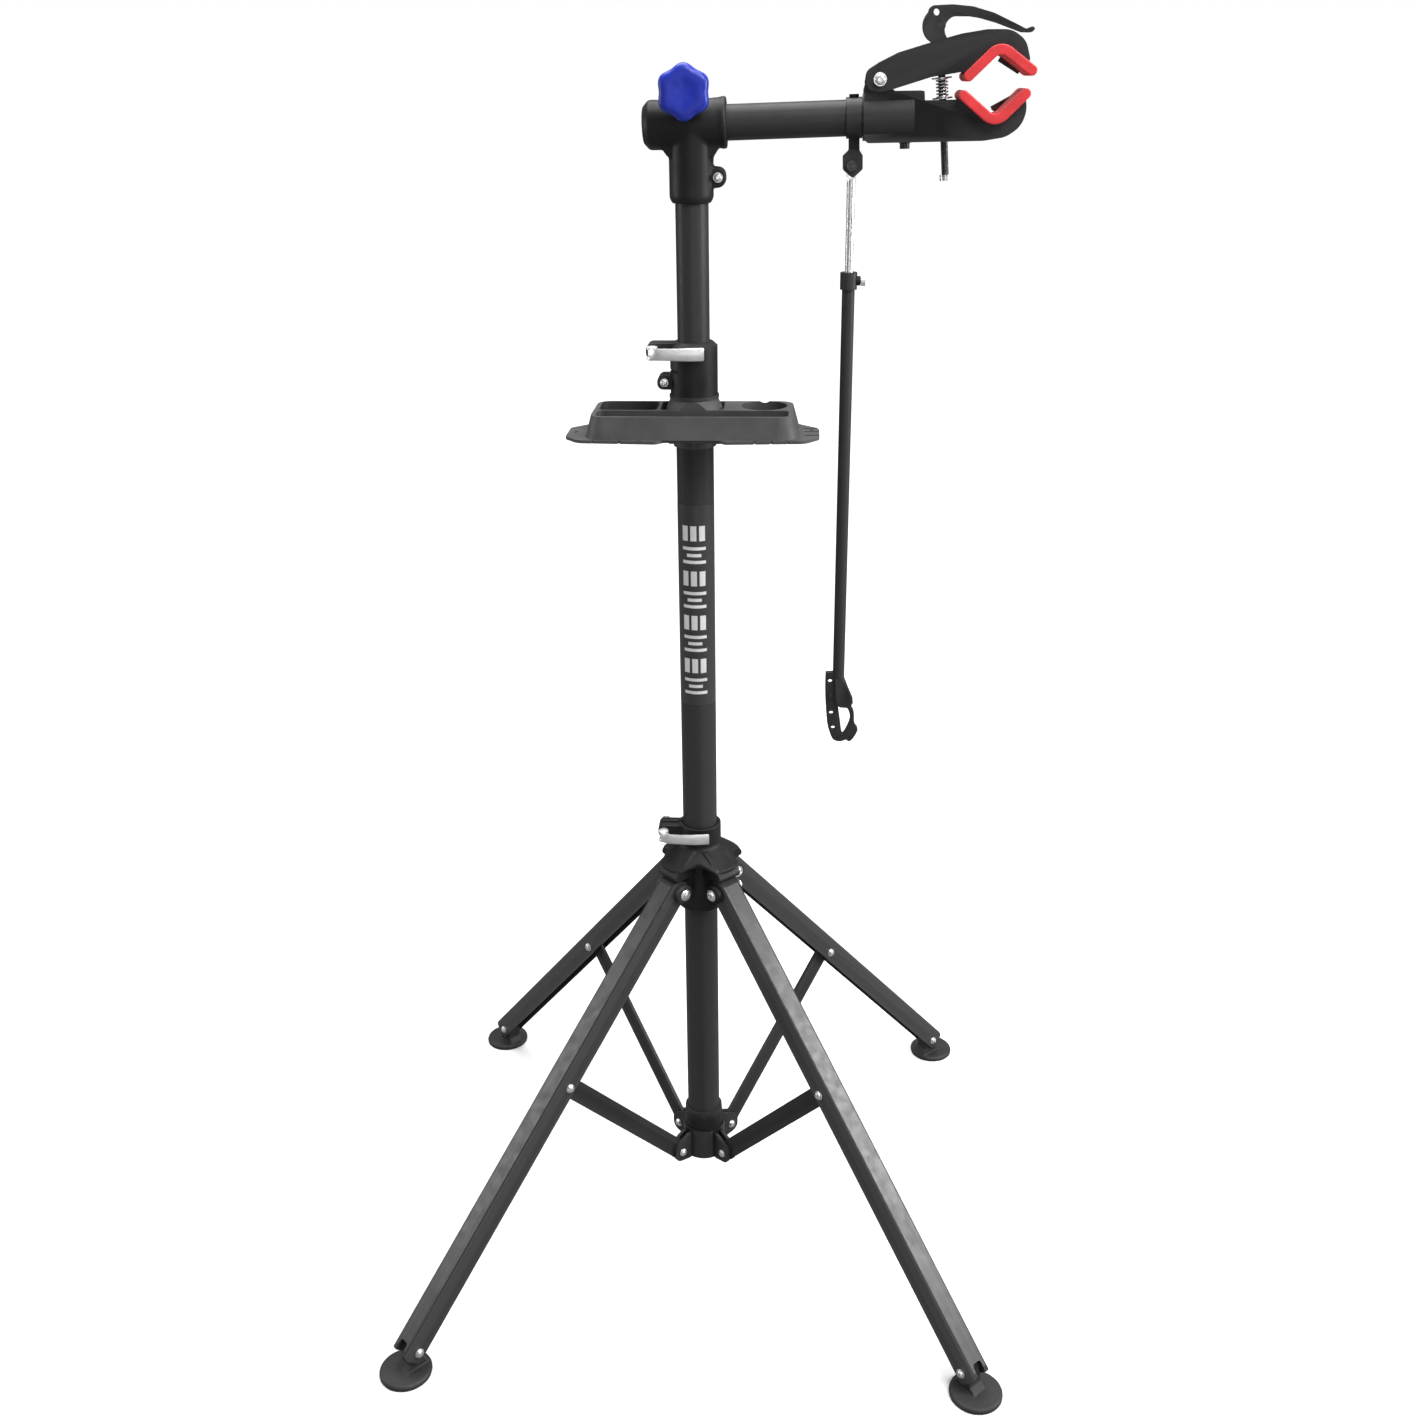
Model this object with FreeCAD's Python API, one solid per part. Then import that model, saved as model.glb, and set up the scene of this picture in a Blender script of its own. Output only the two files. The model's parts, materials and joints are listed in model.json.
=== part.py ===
import FreeCAD, Part
import math
import os

# Bike repair stand, millimetres, +Z up. The mast axis stands at x = 0, y = 0 and the
# floor is z = 0. The arm points along +X, the legs lie in the four diagonal planes.

# ---- driving sizes -------------------------------------------------------------
PIN_GAP = 0.05            # radial clearance of a pin that turns in a hole
SLIDE_GAP = 0.35          # radial clearance of a tube or ring that slides or turns
SIDE_GAP = 0.4            # gap between flat faces of different moving pieces

MAST_RADIUS = 19.0
MAST_BOTTOM = 67.0
MAST_TOP = 1019.0
INNER_RADIUS = 16.0
INNER_BORE = INNER_RADIUS - 1.6
INNER_BOTTOM = 500.0
MAST_BORE = INNER_RADIUS + 1.2
BUSH_BOTTOM = MAST_TOP - 59.0
BUSH_LIP = 3.0
LABEL_BOTTOM = 665.0
LABEL_TOP = 885.0
LABEL_THICKNESS = 0.25

COLLAR_RADIUS = MAST_RADIUS + 4.6
COLLAR_BOTTOM = MAST_TOP - 27.0
COLLAR_TOP = MAST_TOP + 28.0
COLLAR_LEVER_HEIGHT = MAST_TOP + 19.3
COLLAR_BOLT_HEIGHT = MAST_TOP - 11.0
COLLAR_BOLT_SIDE = -MAST_RADIUS - 10.0

TRAY_RIM = COLLAR_BOTTOM - 9.0
TRAY_DIVIDER = -24.0
TRAY_FLANGE = TRAY_RIM - 21.5
TRAY_HALF_WIDTH = 99.0
TRAY_FRONT = -56.0
TRAY_BACK = 24.0
TRAY_DRAFT = 6.0
TRAY_WALL = 2.6
TRAY_CORNER = 14.0
FLANGE_REACH = 26.0       # how far the end lugs stand out past the tub
FLANGE_THICKNESS = 3.0
CUP_RADIUS = 23.0
CUP_BACK = 1.5            # how far the cup centre lies behind the mast axis
CUP_AT = 70.0

ARM_HEIGHT = 1246.5
ARM_RISE = 1.5            # degrees
ARM_RADIUS = 16.0
ARM_BORE = ARM_RADIUS - 1.6
ARM_START = -38.0
TEE_BOTTOM = ARM_HEIGHT - 70.5
TEE_BOLT_HEIGHT = ARM_HEIGHT - 47.1
TEE_SOCKET_RADIUS = INNER_RADIUS + 5.2
TEE_BOLT_SIDE = INNER_RADIUS + 9.6
TEE_BARREL_RADIUS = ARM_RADIUS + 6.2
TEE_LEFT = ARM_START - 7.0
TEE_RIGHT = 33.8
TUBE_SEAT = 25.0          # how far below the arm axis the inner mast ends
KNOB_AT = (-3.0, ARM_RADIUS + 11.8)
KNOB_RADIUS = 25.0
KNOB_FRONT = -45.0
KNOB_BACK = -27.0
HANGER_AT = 152.0
HANGER_BOLT = (149.7, -41.6)

# The clamp is drawn from the start of its socket (x = 0) and from the arm axis (z = 0).
SOCKET_START = 160.0
SOCKET_LENGTH = 46.5
SOCKET_RADIUS = ARM_RADIUS + 4.5
ARM_IN_SOCKET = 44.5
SOCKET_SCREW_AT = 39.0
JAW_PIVOT = (15.0, 32.1)
JAW_BOLT_RADIUS = 3.5
LOWER_PLATE_INSIDE = 12.0
PLATE_THICKNESS = 3.0
PAD_HALF_WIDTH = 24.0
PAD_THICKNESS = 9.0
PAD_BEND = 11.5           # bend radius of the middle line
LOWER_PAD = [(87.0, 18.8), (119.3, -8.8), (149.3, 18.6)]
UPPER_PAD = [(91.0, 29.0), (121.9, 56.6), (154.3, 32.1)]
ROD_RADIUS = 3.2
ROD_TILT = 3.46           # degrees, the top leans towards the mast
ROD_PIN = (69.4, 75.2)
ROD_LENGTH = 133.0
ROD_EYE_RADIUS = 5.0
CAM_RADIUS = 15.6
LEVER_HALF_WIDTH = 6.0
LEVER_PIN_RADIUS = 2.5
SPRING_RADIUS = 5.0
SPRING_WIRE = 0.7
SPRING_LENGTH = 17.0
SPRING_TURNS = 6.0
SPRING_FOOT = -61.6       # along the rod, from its pin

STAB_RADIUS = 3.9
STAB_BOTTOM = 790.0
TUBE_RADIUS = 6.2
TUBE_TOP = 1096.0
TUBE_BOTTOM = 664.0
LOCK_HEIGHT = 16.0
LOCK_SCREW_DROP = 8.0
EYE_HALF_WIDTH = 2.5
HOLDER_HALF_THICKNESS = 1.6

LEG_ANGLES = {"front_right": -45.0, "rear_right": 45.0, "rear_left": 135.0, "front_left": -135.0}
PIVOT_RADIUS = 40.0
HUB_PIVOT = (PIVOT_RADIUS, 445.0)
BASE_PIVOT = (PIVOT_RADIUS, 82.0)
STRUT_REACH = 245.6
FOOT_BOLT_ALONG = 564.2
LEG_HALF_WIDTH = 12.5
LEG_WALL = 2.0
LEG_WEB = 2.5
LEG_OUTSIDE = 16.0
LEG_INSIDE = 9.0
LEG_BOLT_RADIUS = 3.0
STRUT_HALF_WIDTH = 11.0
STRUT_THICKNESS = 4.0
FOOT_RADIUS = 28.2
FOOT_THICKNESS = 6.0
FOOT_OFFSET = 11.5

HUB_SLEEVE_RADIUS = MAST_RADIUS + 7.0
HUB_RING_RADIUS = MAST_RADIUS + 4.4
HUB_BOTTOM = HUB_PIVOT[1] - 31.0
HUB_TOP = HUB_PIVOT[1] + 72.0
HUB_LEVER_HEIGHT = HUB_PIVOT[1] + 63.3
HOOD_WALL = 2.6
HOOD_GAP = 0.6

BASE_RADIUS = MAST_RADIUS + 6.2
BASE_NECK_RADIUS = MAST_RADIUS + 3.0
BASE_BOTTOM = MAST_BOTTOM
BASE_RIM = BASE_PIVOT[1] + 24.0
BASE_TOP = BASE_PIVOT[1] + 49.0
EAR_RADIUS = 10.5
EAR_THICKNESS = 4.0

QR_SIDE = -MAST_RADIUS - 20.5
QR_FRONT = -20.0                # y of the quick-release pivots
QR_HEIGHT = 13.0
QR_BOLT_RADIUS = 2.5
QR_PIN_RADIUS = 2.0
QR_LUG_HALF = 11.0              # half the width across a pair of clamp lugs


# ---- geometry helpers ----------------------------------------------------------
def vec(x, y, z):
    return FreeCAD.Vector(x, y, z)


def rod(radius, start, end):
    """Round bar from one point to another."""
    axis = end.sub(start)
    return Part.makeCylinder(radius, axis.Length, start, axis)


def pipe(outer, inner, start, end):
    return rod(outer, start, end).cut(rod(inner, start, end))


def block(x0, x1, y0, y1, z0, z1):
    return Part.makeBox(x1 - x0, y1 - y0, z1 - z0, vec(x0, y0, z0))


def fuse(shapes):
    result = shapes[0]
    if len(shapes) > 1:
        result = shapes[0].multiFuse(shapes[1:])
    return result.removeSplitter()


def cut(shape, tools):
    for tool in tools:
        shape = shape.cut(tool)
    return shape


def rounded_face(points, radii, place):
    """Closed outline through corner points with a corner radius at each, laid out by place()."""
    count = len(points)
    if not isinstance(radii, (list, tuple)):
        radii = [radii] * count
    arcs = []
    for i in range(count):
        here = FreeCAD.Vector(points[i][0], points[i][1], 0)
        before = FreeCAD.Vector(points[i - 1][0], points[i - 1][1], 0).sub(here)
        after = FreeCAD.Vector(points[(i + 1) % count][0], points[(i + 1) % count][1], 0).sub(here)
        turn = before.getAngle(after)
        if radii[i] <= 0 or abs(turn - math.pi) < 0.02:
            arcs.append((here, here, here))
            continue
        reach = radii[i] / math.tan(turn / 2.0)
        reach = min(reach, 0.49 * before.Length, 0.49 * after.Length)
        radius = reach * math.tan(turn / 2.0)
        first = here.add(FreeCAD.Vector(before).normalize().multiply(reach))
        last = here.add(FreeCAD.Vector(after).normalize().multiply(reach))
        middle = FreeCAD.Vector(before).normalize().add(FreeCAD.Vector(after).normalize()).normalize()
        centre = here.add(FreeCAD.Vector(middle).multiply(radius / math.sin(turn / 2.0)))
        crown = centre.sub(FreeCAD.Vector(middle).multiply(radius))
        arcs.append((first, crown, last))
    edges = []
    for i in range(count):
        first, crown, last = arcs[i]
        if first.distanceToPoint(last) > 1e-6:
            edges.append(Part.Arc(place(first), place(crown), place(last)).toShape())
        start = place(last)
        end = place(arcs[(i + 1) % count][0])
        if start.distanceToPoint(end) > 1e-6:
            edges.append(Part.makeLine(start, end))
    return Part.Face(Part.Wire(edges))


def side_plate(points, radii, y0, y1):
    """Plate whose outline is drawn in the x-z plane, from y0 to y1."""
    face = rounded_face(points, radii, lambda p: vec(p.x, y0, p.y))
    return face.extrude(vec(0, y1 - y0, 0))


def flat_plate(points, radii, z0, z1):
    """Plate whose outline is drawn in the x-y plane, from z0 to z1."""
    face = rounded_face(points, radii, lambda p: vec(p.x, p.y, z0))
    return face.extrude(vec(0, 0, z1 - z0))


def channel_bar(points, radii, x0, x1):
    """Bar whose outline is drawn in the y-z plane, from x0 to x1."""
    face = rounded_face(points, radii, lambda p: vec(x0, p.x, p.y))
    return face.extrude(vec(x1 - x0, 0, 0))


def capsule(start, end, radius, y0, y1):
    """Flat bar with round ends between two (x, z) points."""
    ends = [rod(radius, vec(p[0], y0, p[1]), vec(p[0], y1, p[1])) for p in (start, end)]
    along = vec(end[0] - start[0], 0, end[1] - start[1])
    side = vec(-along.z, 0, along.x).normalize().multiply(radius)
    corners = []
    for point, sign in ((start, 1), (end, 1), (end, -1), (start, -1)):
        corners.append((point[0] + sign * side.x, point[1] + sign * side.z))
    return fuse(ends + [side_plate(corners, 0, y0, y1)])


def pin_y(at, radius, y0, y1):
    return rod(radius, vec(at[0], y0, at[1]), vec(at[0], y1, at[1]))


def hexagon_y(at, radius, y0, y1):
    corners = []
    for i in range(6):
        angle = math.radians(60 * i)
        corners.append((at[0] + radius * math.cos(angle), at[1] + radius * math.sin(angle)))
    return side_plate(corners, 0, y0, y1)


def bolt_y(at, radius, head, y0, y1, thick):
    """Bolt along y with a round head at y0 and a hexagon nut at y1."""
    pieces = [pin_y(at, radius, y0 - 0.5 * thick, y1 + 0.5 * thick)]
    pieces.append(pin_y(at, head, y0 - thick, y0))
    pieces.append(hexagon_y(at, head, y1, y1 + thick))
    return fuse(pieces)


def turned(shape, angle):
    """Copy turned about the mast axis by an angle in degrees."""
    copy = shape.copy()
    copy.rotate(vec(0, 0, 0), vec(0, 0, 1), angle)
    return copy


def on_arm(shape):
    """Copy moved from the arm's own frame (x along the arm) to its place on the stand."""
    copy = shape.copy()
    copy.rotate(vec(0, 0, 0), vec(0, 1, 0), -ARM_RISE)
    copy.translate(vec(0, 0, ARM_HEIGHT))
    return copy


def on_clamp(shape):
    """Copy moved from the clamp's frame (x from the start of its socket) to its place."""
    copy = shape.copy()
    copy.translate(vec(SOCKET_START, 0, 0))
    return on_arm(copy)


def on_rod(shape):
    """Copy moved from the clamp rod's frame (pin at the origin, rod down -z) to its place."""
    copy = shape.copy()
    copy.rotate(vec(0, 0, 0), vec(0, 1, 0), -ROD_TILT)
    copy.translate(vec(ROD_PIN[0], 0, ROD_PIN[1]))
    return on_clamp(copy)


def leg_slope():
    """Angle of the legs below the horizontal, in degrees."""
    half = (HUB_PIVOT[1] - BASE_PIVOT[1]) / 2.0
    return math.degrees(math.asin(half / STRUT_REACH))


def along_leg(shape):
    """Copy moved from the leg's own frame (x down the leg, z outwards) to the x-z plane."""
    copy = shape.copy()
    copy.rotate(vec(0, 0, 0), vec(0, 1, 0), leg_slope())
    copy.translate(vec(HUB_PIVOT[0], 0, HUB_PIVOT[1]))
    return copy


# ---- mast ----------------------------------------------------------------------
def lower_mast_tube():
    tube = pipe(MAST_RADIUS, MAST_BORE, vec(0, 0, MAST_BOTTOM), vec(0, 0, MAST_TOP))
    slot = block(-1.5, 1.5, 0, MAST_RADIUS + 1, MAST_TOP - 30, MAST_TOP + 1)
    return tube.cut(slot)


def mast_bushing():
    inner = INNER_RADIUS + SLIDE_GAP
    body = pipe(MAST_BORE, inner, vec(0, 0, BUSH_BOTTOM), vec(0, 0, MAST_TOP))
    lip = pipe(MAST_RADIUS, inner, vec(0, 0, MAST_TOP), vec(0, 0, MAST_TOP + BUSH_LIP))
    return fuse([body, lip])


def mast_label():
    outer = MAST_RADIUS + LABEL_THICKNESS
    band = pipe(outer, MAST_RADIUS, vec(0, 0, LABEL_BOTTOM), vec(0, 0, LABEL_TOP))
    front = block(-30, 30, -30, -4, LABEL_BOTTOM - 1, LABEL_TOP + 1)
    return band.common(front)


def pinch_ears(side, radius, height, half_height, slit_half):
    """Pair of lugs on the side of a round clamp, with a slit between them."""
    points = [(0, height - half_height), (side, height - half_height)]
    points += [(side, height + half_height), (0, height + half_height)]
    lug = side_plate(points, [0, radius, radius, 0], -QR_LUG_HALF, QR_LUG_HALF)
    slit = side_plate(points, 0, -slit_half, slit_half)
    return lug, slit


def height_collar():
    lower_bore = MAST_RADIUS
    upper_bore = INNER_RADIUS + SLIDE_GAP
    shell = rod(COLLAR_RADIUS, vec(0, 0, COLLAR_BOTTOM), vec(0, 0, COLLAR_TOP - 4))
    cap = Part.makeCone(COLLAR_RADIUS, COLLAR_RADIUS - 4.5, 4, vec(0, 0, COLLAR_TOP - 4))
    foot = rod(COLLAR_RADIUS + 1.2, vec(0, 0, COLLAR_BOTTOM), vec(0, 0, COLLAR_BOTTOM + 3))
    upper_lug, upper_slit = pinch_ears(QR_SIDE - 7, 6, COLLAR_LEVER_HEIGHT, 7.5, 1.5)
    lower_lug, lower_slit = pinch_ears(COLLAR_BOLT_SIDE - 7, 6, COLLAR_BOLT_HEIGHT, 7.0, 1.5)
    body = fuse([shell, cap, foot, upper_lug, lower_lug])
    lip_top = MAST_TOP + BUSH_LIP
    tools = [rod(lower_bore, vec(0, 0, COLLAR_BOTTOM - 1), vec(0, 0, lip_top))]
    tools.append(rod(upper_bore, vec(0, 0, COLLAR_BOTTOM), vec(0, 0, COLLAR_TOP + 1)))
    tools += [upper_slit, lower_slit]
    tools.append(block(-60, -1, -1.5, 1.5, COLLAR_BOTTOM - 1, COLLAR_TOP + 1))
    tools.append(block(-60, -15, -30, 30, MAST_TOP - 1, MAST_TOP + 1.5))
    tools.append(pin_y((QR_SIDE, COLLAR_LEVER_HEIGHT), QR_BOLT_RADIUS, -20, 20))
    tools.append(pin_y((COLLAR_BOLT_SIDE, COLLAR_BOLT_HEIGHT), 2.5, -20, 20))
    return cut(body, tools)


def collar_bolt():
    return bolt_y((COLLAR_BOLT_SIDE, COLLAR_BOLT_HEIGHT), 2.5, 4.2, -QR_LUG_HALF, QR_LUG_HALF, 3.4)


def quick_skewer(height):
    shaft = pin_y((QR_SIDE, height), QR_BOLT_RADIUS, QR_FRONT + 3.5, 14)
    eye = rod(4.5, vec(QR_SIDE, QR_FRONT, height - 2.6), vec(QR_SIDE, QR_FRONT, height + 2.6))
    nut = pin_y((QR_SIDE, height), 6.0, QR_LUG_HALF, QR_LUG_HALF + 6)
    washer = pin_y((QR_SIDE, height), 5.0, -QR_LUG_HALF - 2, -QR_LUG_HALF)
    bore = rod(QR_PIN_RADIUS + PIN_GAP, vec(QR_SIDE, QR_FRONT, height - 6),
               vec(QR_SIDE, QR_FRONT, height + 6))
    return fuse([shaft, eye, nut, washer]).cut(bore)


def quick_lever(height):
    low = height - QR_HEIGHT / 2
    high = height + QR_HEIGHT / 2
    barrel = rod(6.3, vec(QR_SIDE, QR_FRONT, low), vec(QR_SIDE, QR_FRONT, high))
    outline = [(QR_SIDE - 4.6, QR_FRONT - 4), (QR_SIDE + 12, -30.5), (0, -31.2), (12, -29.5)]
    outline += [(12, -26.6), (0, -27.6), (QR_SIDE + 16, -26.6), (QR_SIDE + 4, QR_FRONT + 4)]
    blade = flat_plate(outline, [1, 16, 20, 1.3, 1.3, 18, 12, 1], low, high)
    fork = rod(7.2, vec(QR_SIDE, QR_FRONT, height - 3), vec(QR_SIDE, QR_FRONT, height + 3))
    pin = rod(QR_PIN_RADIUS, vec(QR_SIDE, QR_FRONT, low), vec(QR_SIDE, QR_FRONT, high))
    return fuse([fuse([barrel, blade]).cut(fork), pin])


# ---- tray ----------------------------------------------------------------------
def box_outline(x0, x1, y0, y1):
    return [(x0, y0), (x1, y0), (x1, y1), (x0, y1)]


def tapered_tub(grow):
    """Outside of the tray tub, a little wider at the bottom than at the rim."""
    wide = TRAY_HALF_WIDTH
    rim = box_outline(-wide, wide, TRAY_FRONT, TRAY_BACK)
    base = box_outline(-wide - grow, wide + grow, TRAY_FRONT - grow, TRAY_BACK + grow)
    wires = []
    for outline, radius, height in ((base, TRAY_CORNER + grow, TRAY_FLANGE), (rim, TRAY_CORNER, TRAY_RIM)):
        face = rounded_face(outline, radius, lambda p, z=height: vec(p.x, p.y, z))
        wires.append(face.OuterWire)
    return Part.makeLoft(wires, True, True)


def tray_flange():
    wide = TRAY_HALF_WIDTH + FLANGE_REACH
    front = TRAY_FRONT - TRAY_DRAFT - 5
    back = TRAY_BACK + TRAY_DRAFT + 2
    outline = [(-wide, -44), (-wide + 14, front + 5), (-34, front), (-26, front + 8)]
    outline += [(26, front + 8), (34, front), (wide - 14, front + 5), (wide, -44), (wide, -4)]
    outline += [(wide - 12, 8), (90, back), (-90, back), (-wide + 12, 8), (-wide, -4)]
    radii = [10, 14, 5, 5, 5, 5, 14, 10, 10, 10, 8, 8, 10, 10]
    return flat_plate(outline, radii, TRAY_FLANGE - FLANGE_THICKNESS, TRAY_FLANGE)


def tray_pockets():
    floor = TRAY_FLANGE
    top = TRAY_RIM + 1
    wall = TRAY_WALL
    divider = TRAY_DIVIDER
    pockets = []
    pockets.append(flat_plate(box_outline(-TRAY_HALF_WIDTH + wall + 2, TRAY_HALF_WIDTH - wall - 2,
                                          TRAY_FRONT + wall + 1, divider), 6, floor, top))
    pockets.append(flat_plate(box_outline(-TRAY_HALF_WIDTH + wall + 2, -36,
                                          divider + wall, TRAY_BACK - wall), 6, floor, top))
    pockets.append(rod(CUP_RADIUS, vec(CUP_AT, CUP_BACK, floor), vec(CUP_AT, CUP_BACK, top)))
    middle = box_outline(-33, 30, divider + wall, TRAY_BACK - wall)
    pockets.append(flat_plate(middle, 5, TRAY_RIM - 8, top))
    return pockets


def tray_holes():
    low = TRAY_FLANGE - FLANGE_THICKNESS - 1
    high = TRAY_FLANGE + 1
    tools = []
    tip = TRAY_HALF_WIDTH + FLANGE_REACH
    skirt = TRAY_FRONT - TRAY_DRAFT - 1.8
    for y in (-36, -20, -5):
        tools.append(flat_plate(box_outline(tip - 15, tip + 2, y - 2, y + 2), 1, low, high))
    for x in (-96, -70, -50, 62, 78, 94):
        tools.append(rod(1.6, vec(x, skirt, low), vec(x, skirt, high)))
    for x, y in ((8 - tip, -24), (tip - 8, -12.5)):
        tools.append(rod(2.5, vec(x, y, low), vec(x, y, high)))
    return tools


def tool_tray():
    hub = rod(MAST_RADIUS + 2.6, vec(0, 0, TRAY_FLANGE - 18), vec(0, 0, COLLAR_BOTTOM))
    foot = TRAY_RIM - 6
    flare = Part.makeCone(MAST_RADIUS + 11, COLLAR_RADIUS, COLLAR_BOTTOM - foot, vec(0, 0, foot))
    flare = flare.common(block(-60, 60, -MAST_RADIUS - 5, 60, foot - 1, COLLAR_BOTTOM))
    gussets = []
    for angle in (0, 90, 180, 270):
        rib = side_plate([(10, TRAY_FLANGE - 17), (26, TRAY_FLANGE - 17), (40, TRAY_FLANGE - 2),
                          (10, TRAY_FLANGE - 2)], 0, -1.5, 1.5)
        gussets.append(turned(rib, angle))
    skin = tapered_tub(TRAY_DRAFT)
    hollow = cut(fuse([skin, tray_flange()]), tray_pockets())
    body = fuse([hollow, hub, flare] + gussets)
    bore = rod(MAST_RADIUS, vec(0, 0, TRAY_FLANGE - 30), vec(0, 0, COLLAR_BOTTOM + 1))
    return cut(body, [bore] + tray_holes())


# ---- head fitting and knob --------------------------------------------------------
def upper_mast_tube():
    return pipe(INNER_RADIUS, INNER_BORE, vec(0, 0, INNER_BOTTOM), vec(0, 0, ARM_HEIGHT - TUBE_SEAT))


def head_fitting():
    barrel = rod(TEE_BARREL_RADIUS, vec(TEE_LEFT + 6, 0, 0), vec(TEE_RIGHT, 0, 0))
    dome = Part.makeCone(TEE_BARREL_RADIUS - 6.5, TEE_BARREL_RADIUS, 6, vec(TEE_LEFT, 0, 0), vec(1, 0, 0))
    rim = rod(TEE_BARREL_RADIUS + 1, vec(TEE_RIGHT - 5, 0, 0), vec(TEE_RIGHT, 0, 0))
    lugs = side_plate([(-15, 0), (9, 0), (9, 38), (-15, 38)], [0, 0, 10, 10], -11, 11)
    head = on_arm(fuse([barrel, dome, rim, lugs]))
    bore = on_arm(rod(ARM_RADIUS + SLIDE_GAP, vec(ARM_START - 0.5, 0, 0), vec(TEE_RIGHT + 5, 0, 0)))
    slit = on_arm(block(-30, 20, -1.5, 1.5, 8, 50))
    socket = rod(TEE_SOCKET_RADIUS, vec(0, 0, TEE_BOTTOM + 5), vec(0, 0, ARM_HEIGHT))
    chamfer = Part.makeCone(TEE_SOCKET_RADIUS - 2.5, TEE_SOCKET_RADIUS, 5, vec(0, 0, TEE_BOTTOM))
    neck = ARM_HEIGHT - TEE_SOCKET_RADIUS - 13
    fillet = side_plate([(-TEE_SOCKET_RADIUS, neck + 5), (TEE_SOCKET_RADIUS, neck + 5), (27, neck + 14),
                         (27, neck + 28), (-28, neck + 28), (-28, neck + 14)], 3, -13, 13)
    low = TEE_BOLT_HEIGHT - 9.5
    high = TEE_BOLT_HEIGHT + 9.5
    tip = TEE_BOLT_SIDE + 7.4
    ear = side_plate([(0, low), (tip, low), (tip, high), (0, high)], [0, 8, 8, 0], -9, 9)
    ear_slit = block(10, 40, -1.5, 1.5, TEE_BOTTOM - 1, high + 3)
    body = fuse([head, socket, chamfer, fillet, ear])
    tube_hole = rod(INNER_RADIUS, vec(0, 0, TEE_BOTTOM - 1), vec(0, 0, ARM_HEIGHT - TUBE_SEAT))
    bolt_hole = pin_y((TEE_BOLT_SIDE, TEE_BOLT_HEIGHT), 2.5, -20, 20)
    knob_hole = on_arm(pin_y(KNOB_AT, 3.0, -20, 20))
    return cut(body, [bore, slit, ear_slit, tube_hole, bolt_hole, knob_hole])


def head_pinch_bolt():
    return bolt_y((TEE_BOLT_SIDE, TEE_BOLT_HEIGHT), 2.5, 4.6, -9, 9, 4.0)


def knob_bolt():
    shaft = pin_y(KNOB_AT, 3.0, KNOB_FRONT + 6, 14)
    head = hexagon_y(KNOB_AT, 6.2, 11, 15.5)
    return on_arm(fuse([shaft, head]))


def clamp_knob():
    core = pin_y(KNOB_AT, 19.0, KNOB_FRONT, KNOB_BACK)
    lobes = []
    for i in range(6):
        angle = math.radians(60 * i + 90)
        lobe_at = (KNOB_AT[0] + 16.5 * math.cos(angle), KNOB_AT[1] + 16.5 * math.sin(angle))
        lobes.append(pin_y(lobe_at, KNOB_RADIUS - 16.5, KNOB_FRONT + 2, KNOB_BACK - 1))
    boss = pin_y(KNOB_AT, 8.0, KNOB_BACK - 1, -11 - SIDE_GAP)
    body = fuse([core, boss] + lobes)
    dimple = Part.makeSphere(14, vec(KNOB_AT[0], KNOB_FRONT - 11.5, KNOB_AT[1]))
    bore = pin_y(KNOB_AT, 3.0 + PIN_GAP, KNOB_FRONT + 5.5, 0)
    return on_arm(cut(body, [dimple, bore]))


# ---- arm and clamp ---------------------------------------------------------------
def arm_tube():
    end = SOCKET_START + ARM_IN_SOCKET
    return on_arm(pipe(ARM_RADIUS, ARM_BORE, vec(ARM_START, 0, 0), vec(end, 0, 0)))


def clamp_socket():
    x = SOCKET_SCREW_AT
    sleeve = rod(SOCKET_RADIUS, vec(0, 0, 0), vec(SOCKET_LENGTH, 0, 0))
    boss = rod(5.5, vec(x, 0, 0), vec(x, 0, -SOCKET_RADIUS - 3))
    bore = rod(ARM_RADIUS, vec(-1, 0, 0), vec(ARM_IN_SOCKET, 0, 0))
    screw = rod(3.0, vec(x, 0, 0), vec(x, 0, -2 * SOCKET_RADIUS))
    return on_clamp(cut(fuse([sleeve, boss]), [bore, screw]))


def socket_screw():
    x = SOCKET_SCREW_AT
    shaft = rod(3.0, vec(x, 0, -ARM_RADIUS), vec(x, 0, -SOCKET_RADIUS - 4))
    head = rod(4.6, vec(x, 0, -SOCKET_RADIUS - 3), vec(x, 0, -SOCKET_RADIUS - 8))
    return on_clamp(fuse([shaft, head]))


def lower_jaw_outline():
    outline = [(1, 24), (6, 40), (24, 40), (27, 21.8), (55.6, 21.2), (56.0, 12.6), (91, 12.2)]
    outline += [(119.3, -11.5), (147, 14), (148.5, 0), (143, -13), (130, -21), (110, -23.5)]
    outline += [(3, -22), (0.5, -16)]
    radii = [3, 9, 9, 4, 1.5, 1.5, 4, 8, 1, 23, 23, 23, 23, 4, 3]
    return outline, radii


def lower_jaw_plates():
    outline, radii = lower_jaw_outline()
    inside = LOWER_PLATE_INSIDE
    outside = inside + PLATE_THICKNESS
    plates = [side_plate(outline, radii, -outside, -inside), side_plate(outline, radii, inside, outside)]
    tools = [rod(SOCKET_RADIUS, vec(-60, 0, 0), vec(SOCKET_LENGTH, 0, 0))]
    tools.append(pin_y(JAW_PIVOT, JAW_BOLT_RADIUS, -40, 40))
    return [on_clamp(cut(plate, tools)) for plate in plates]


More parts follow.
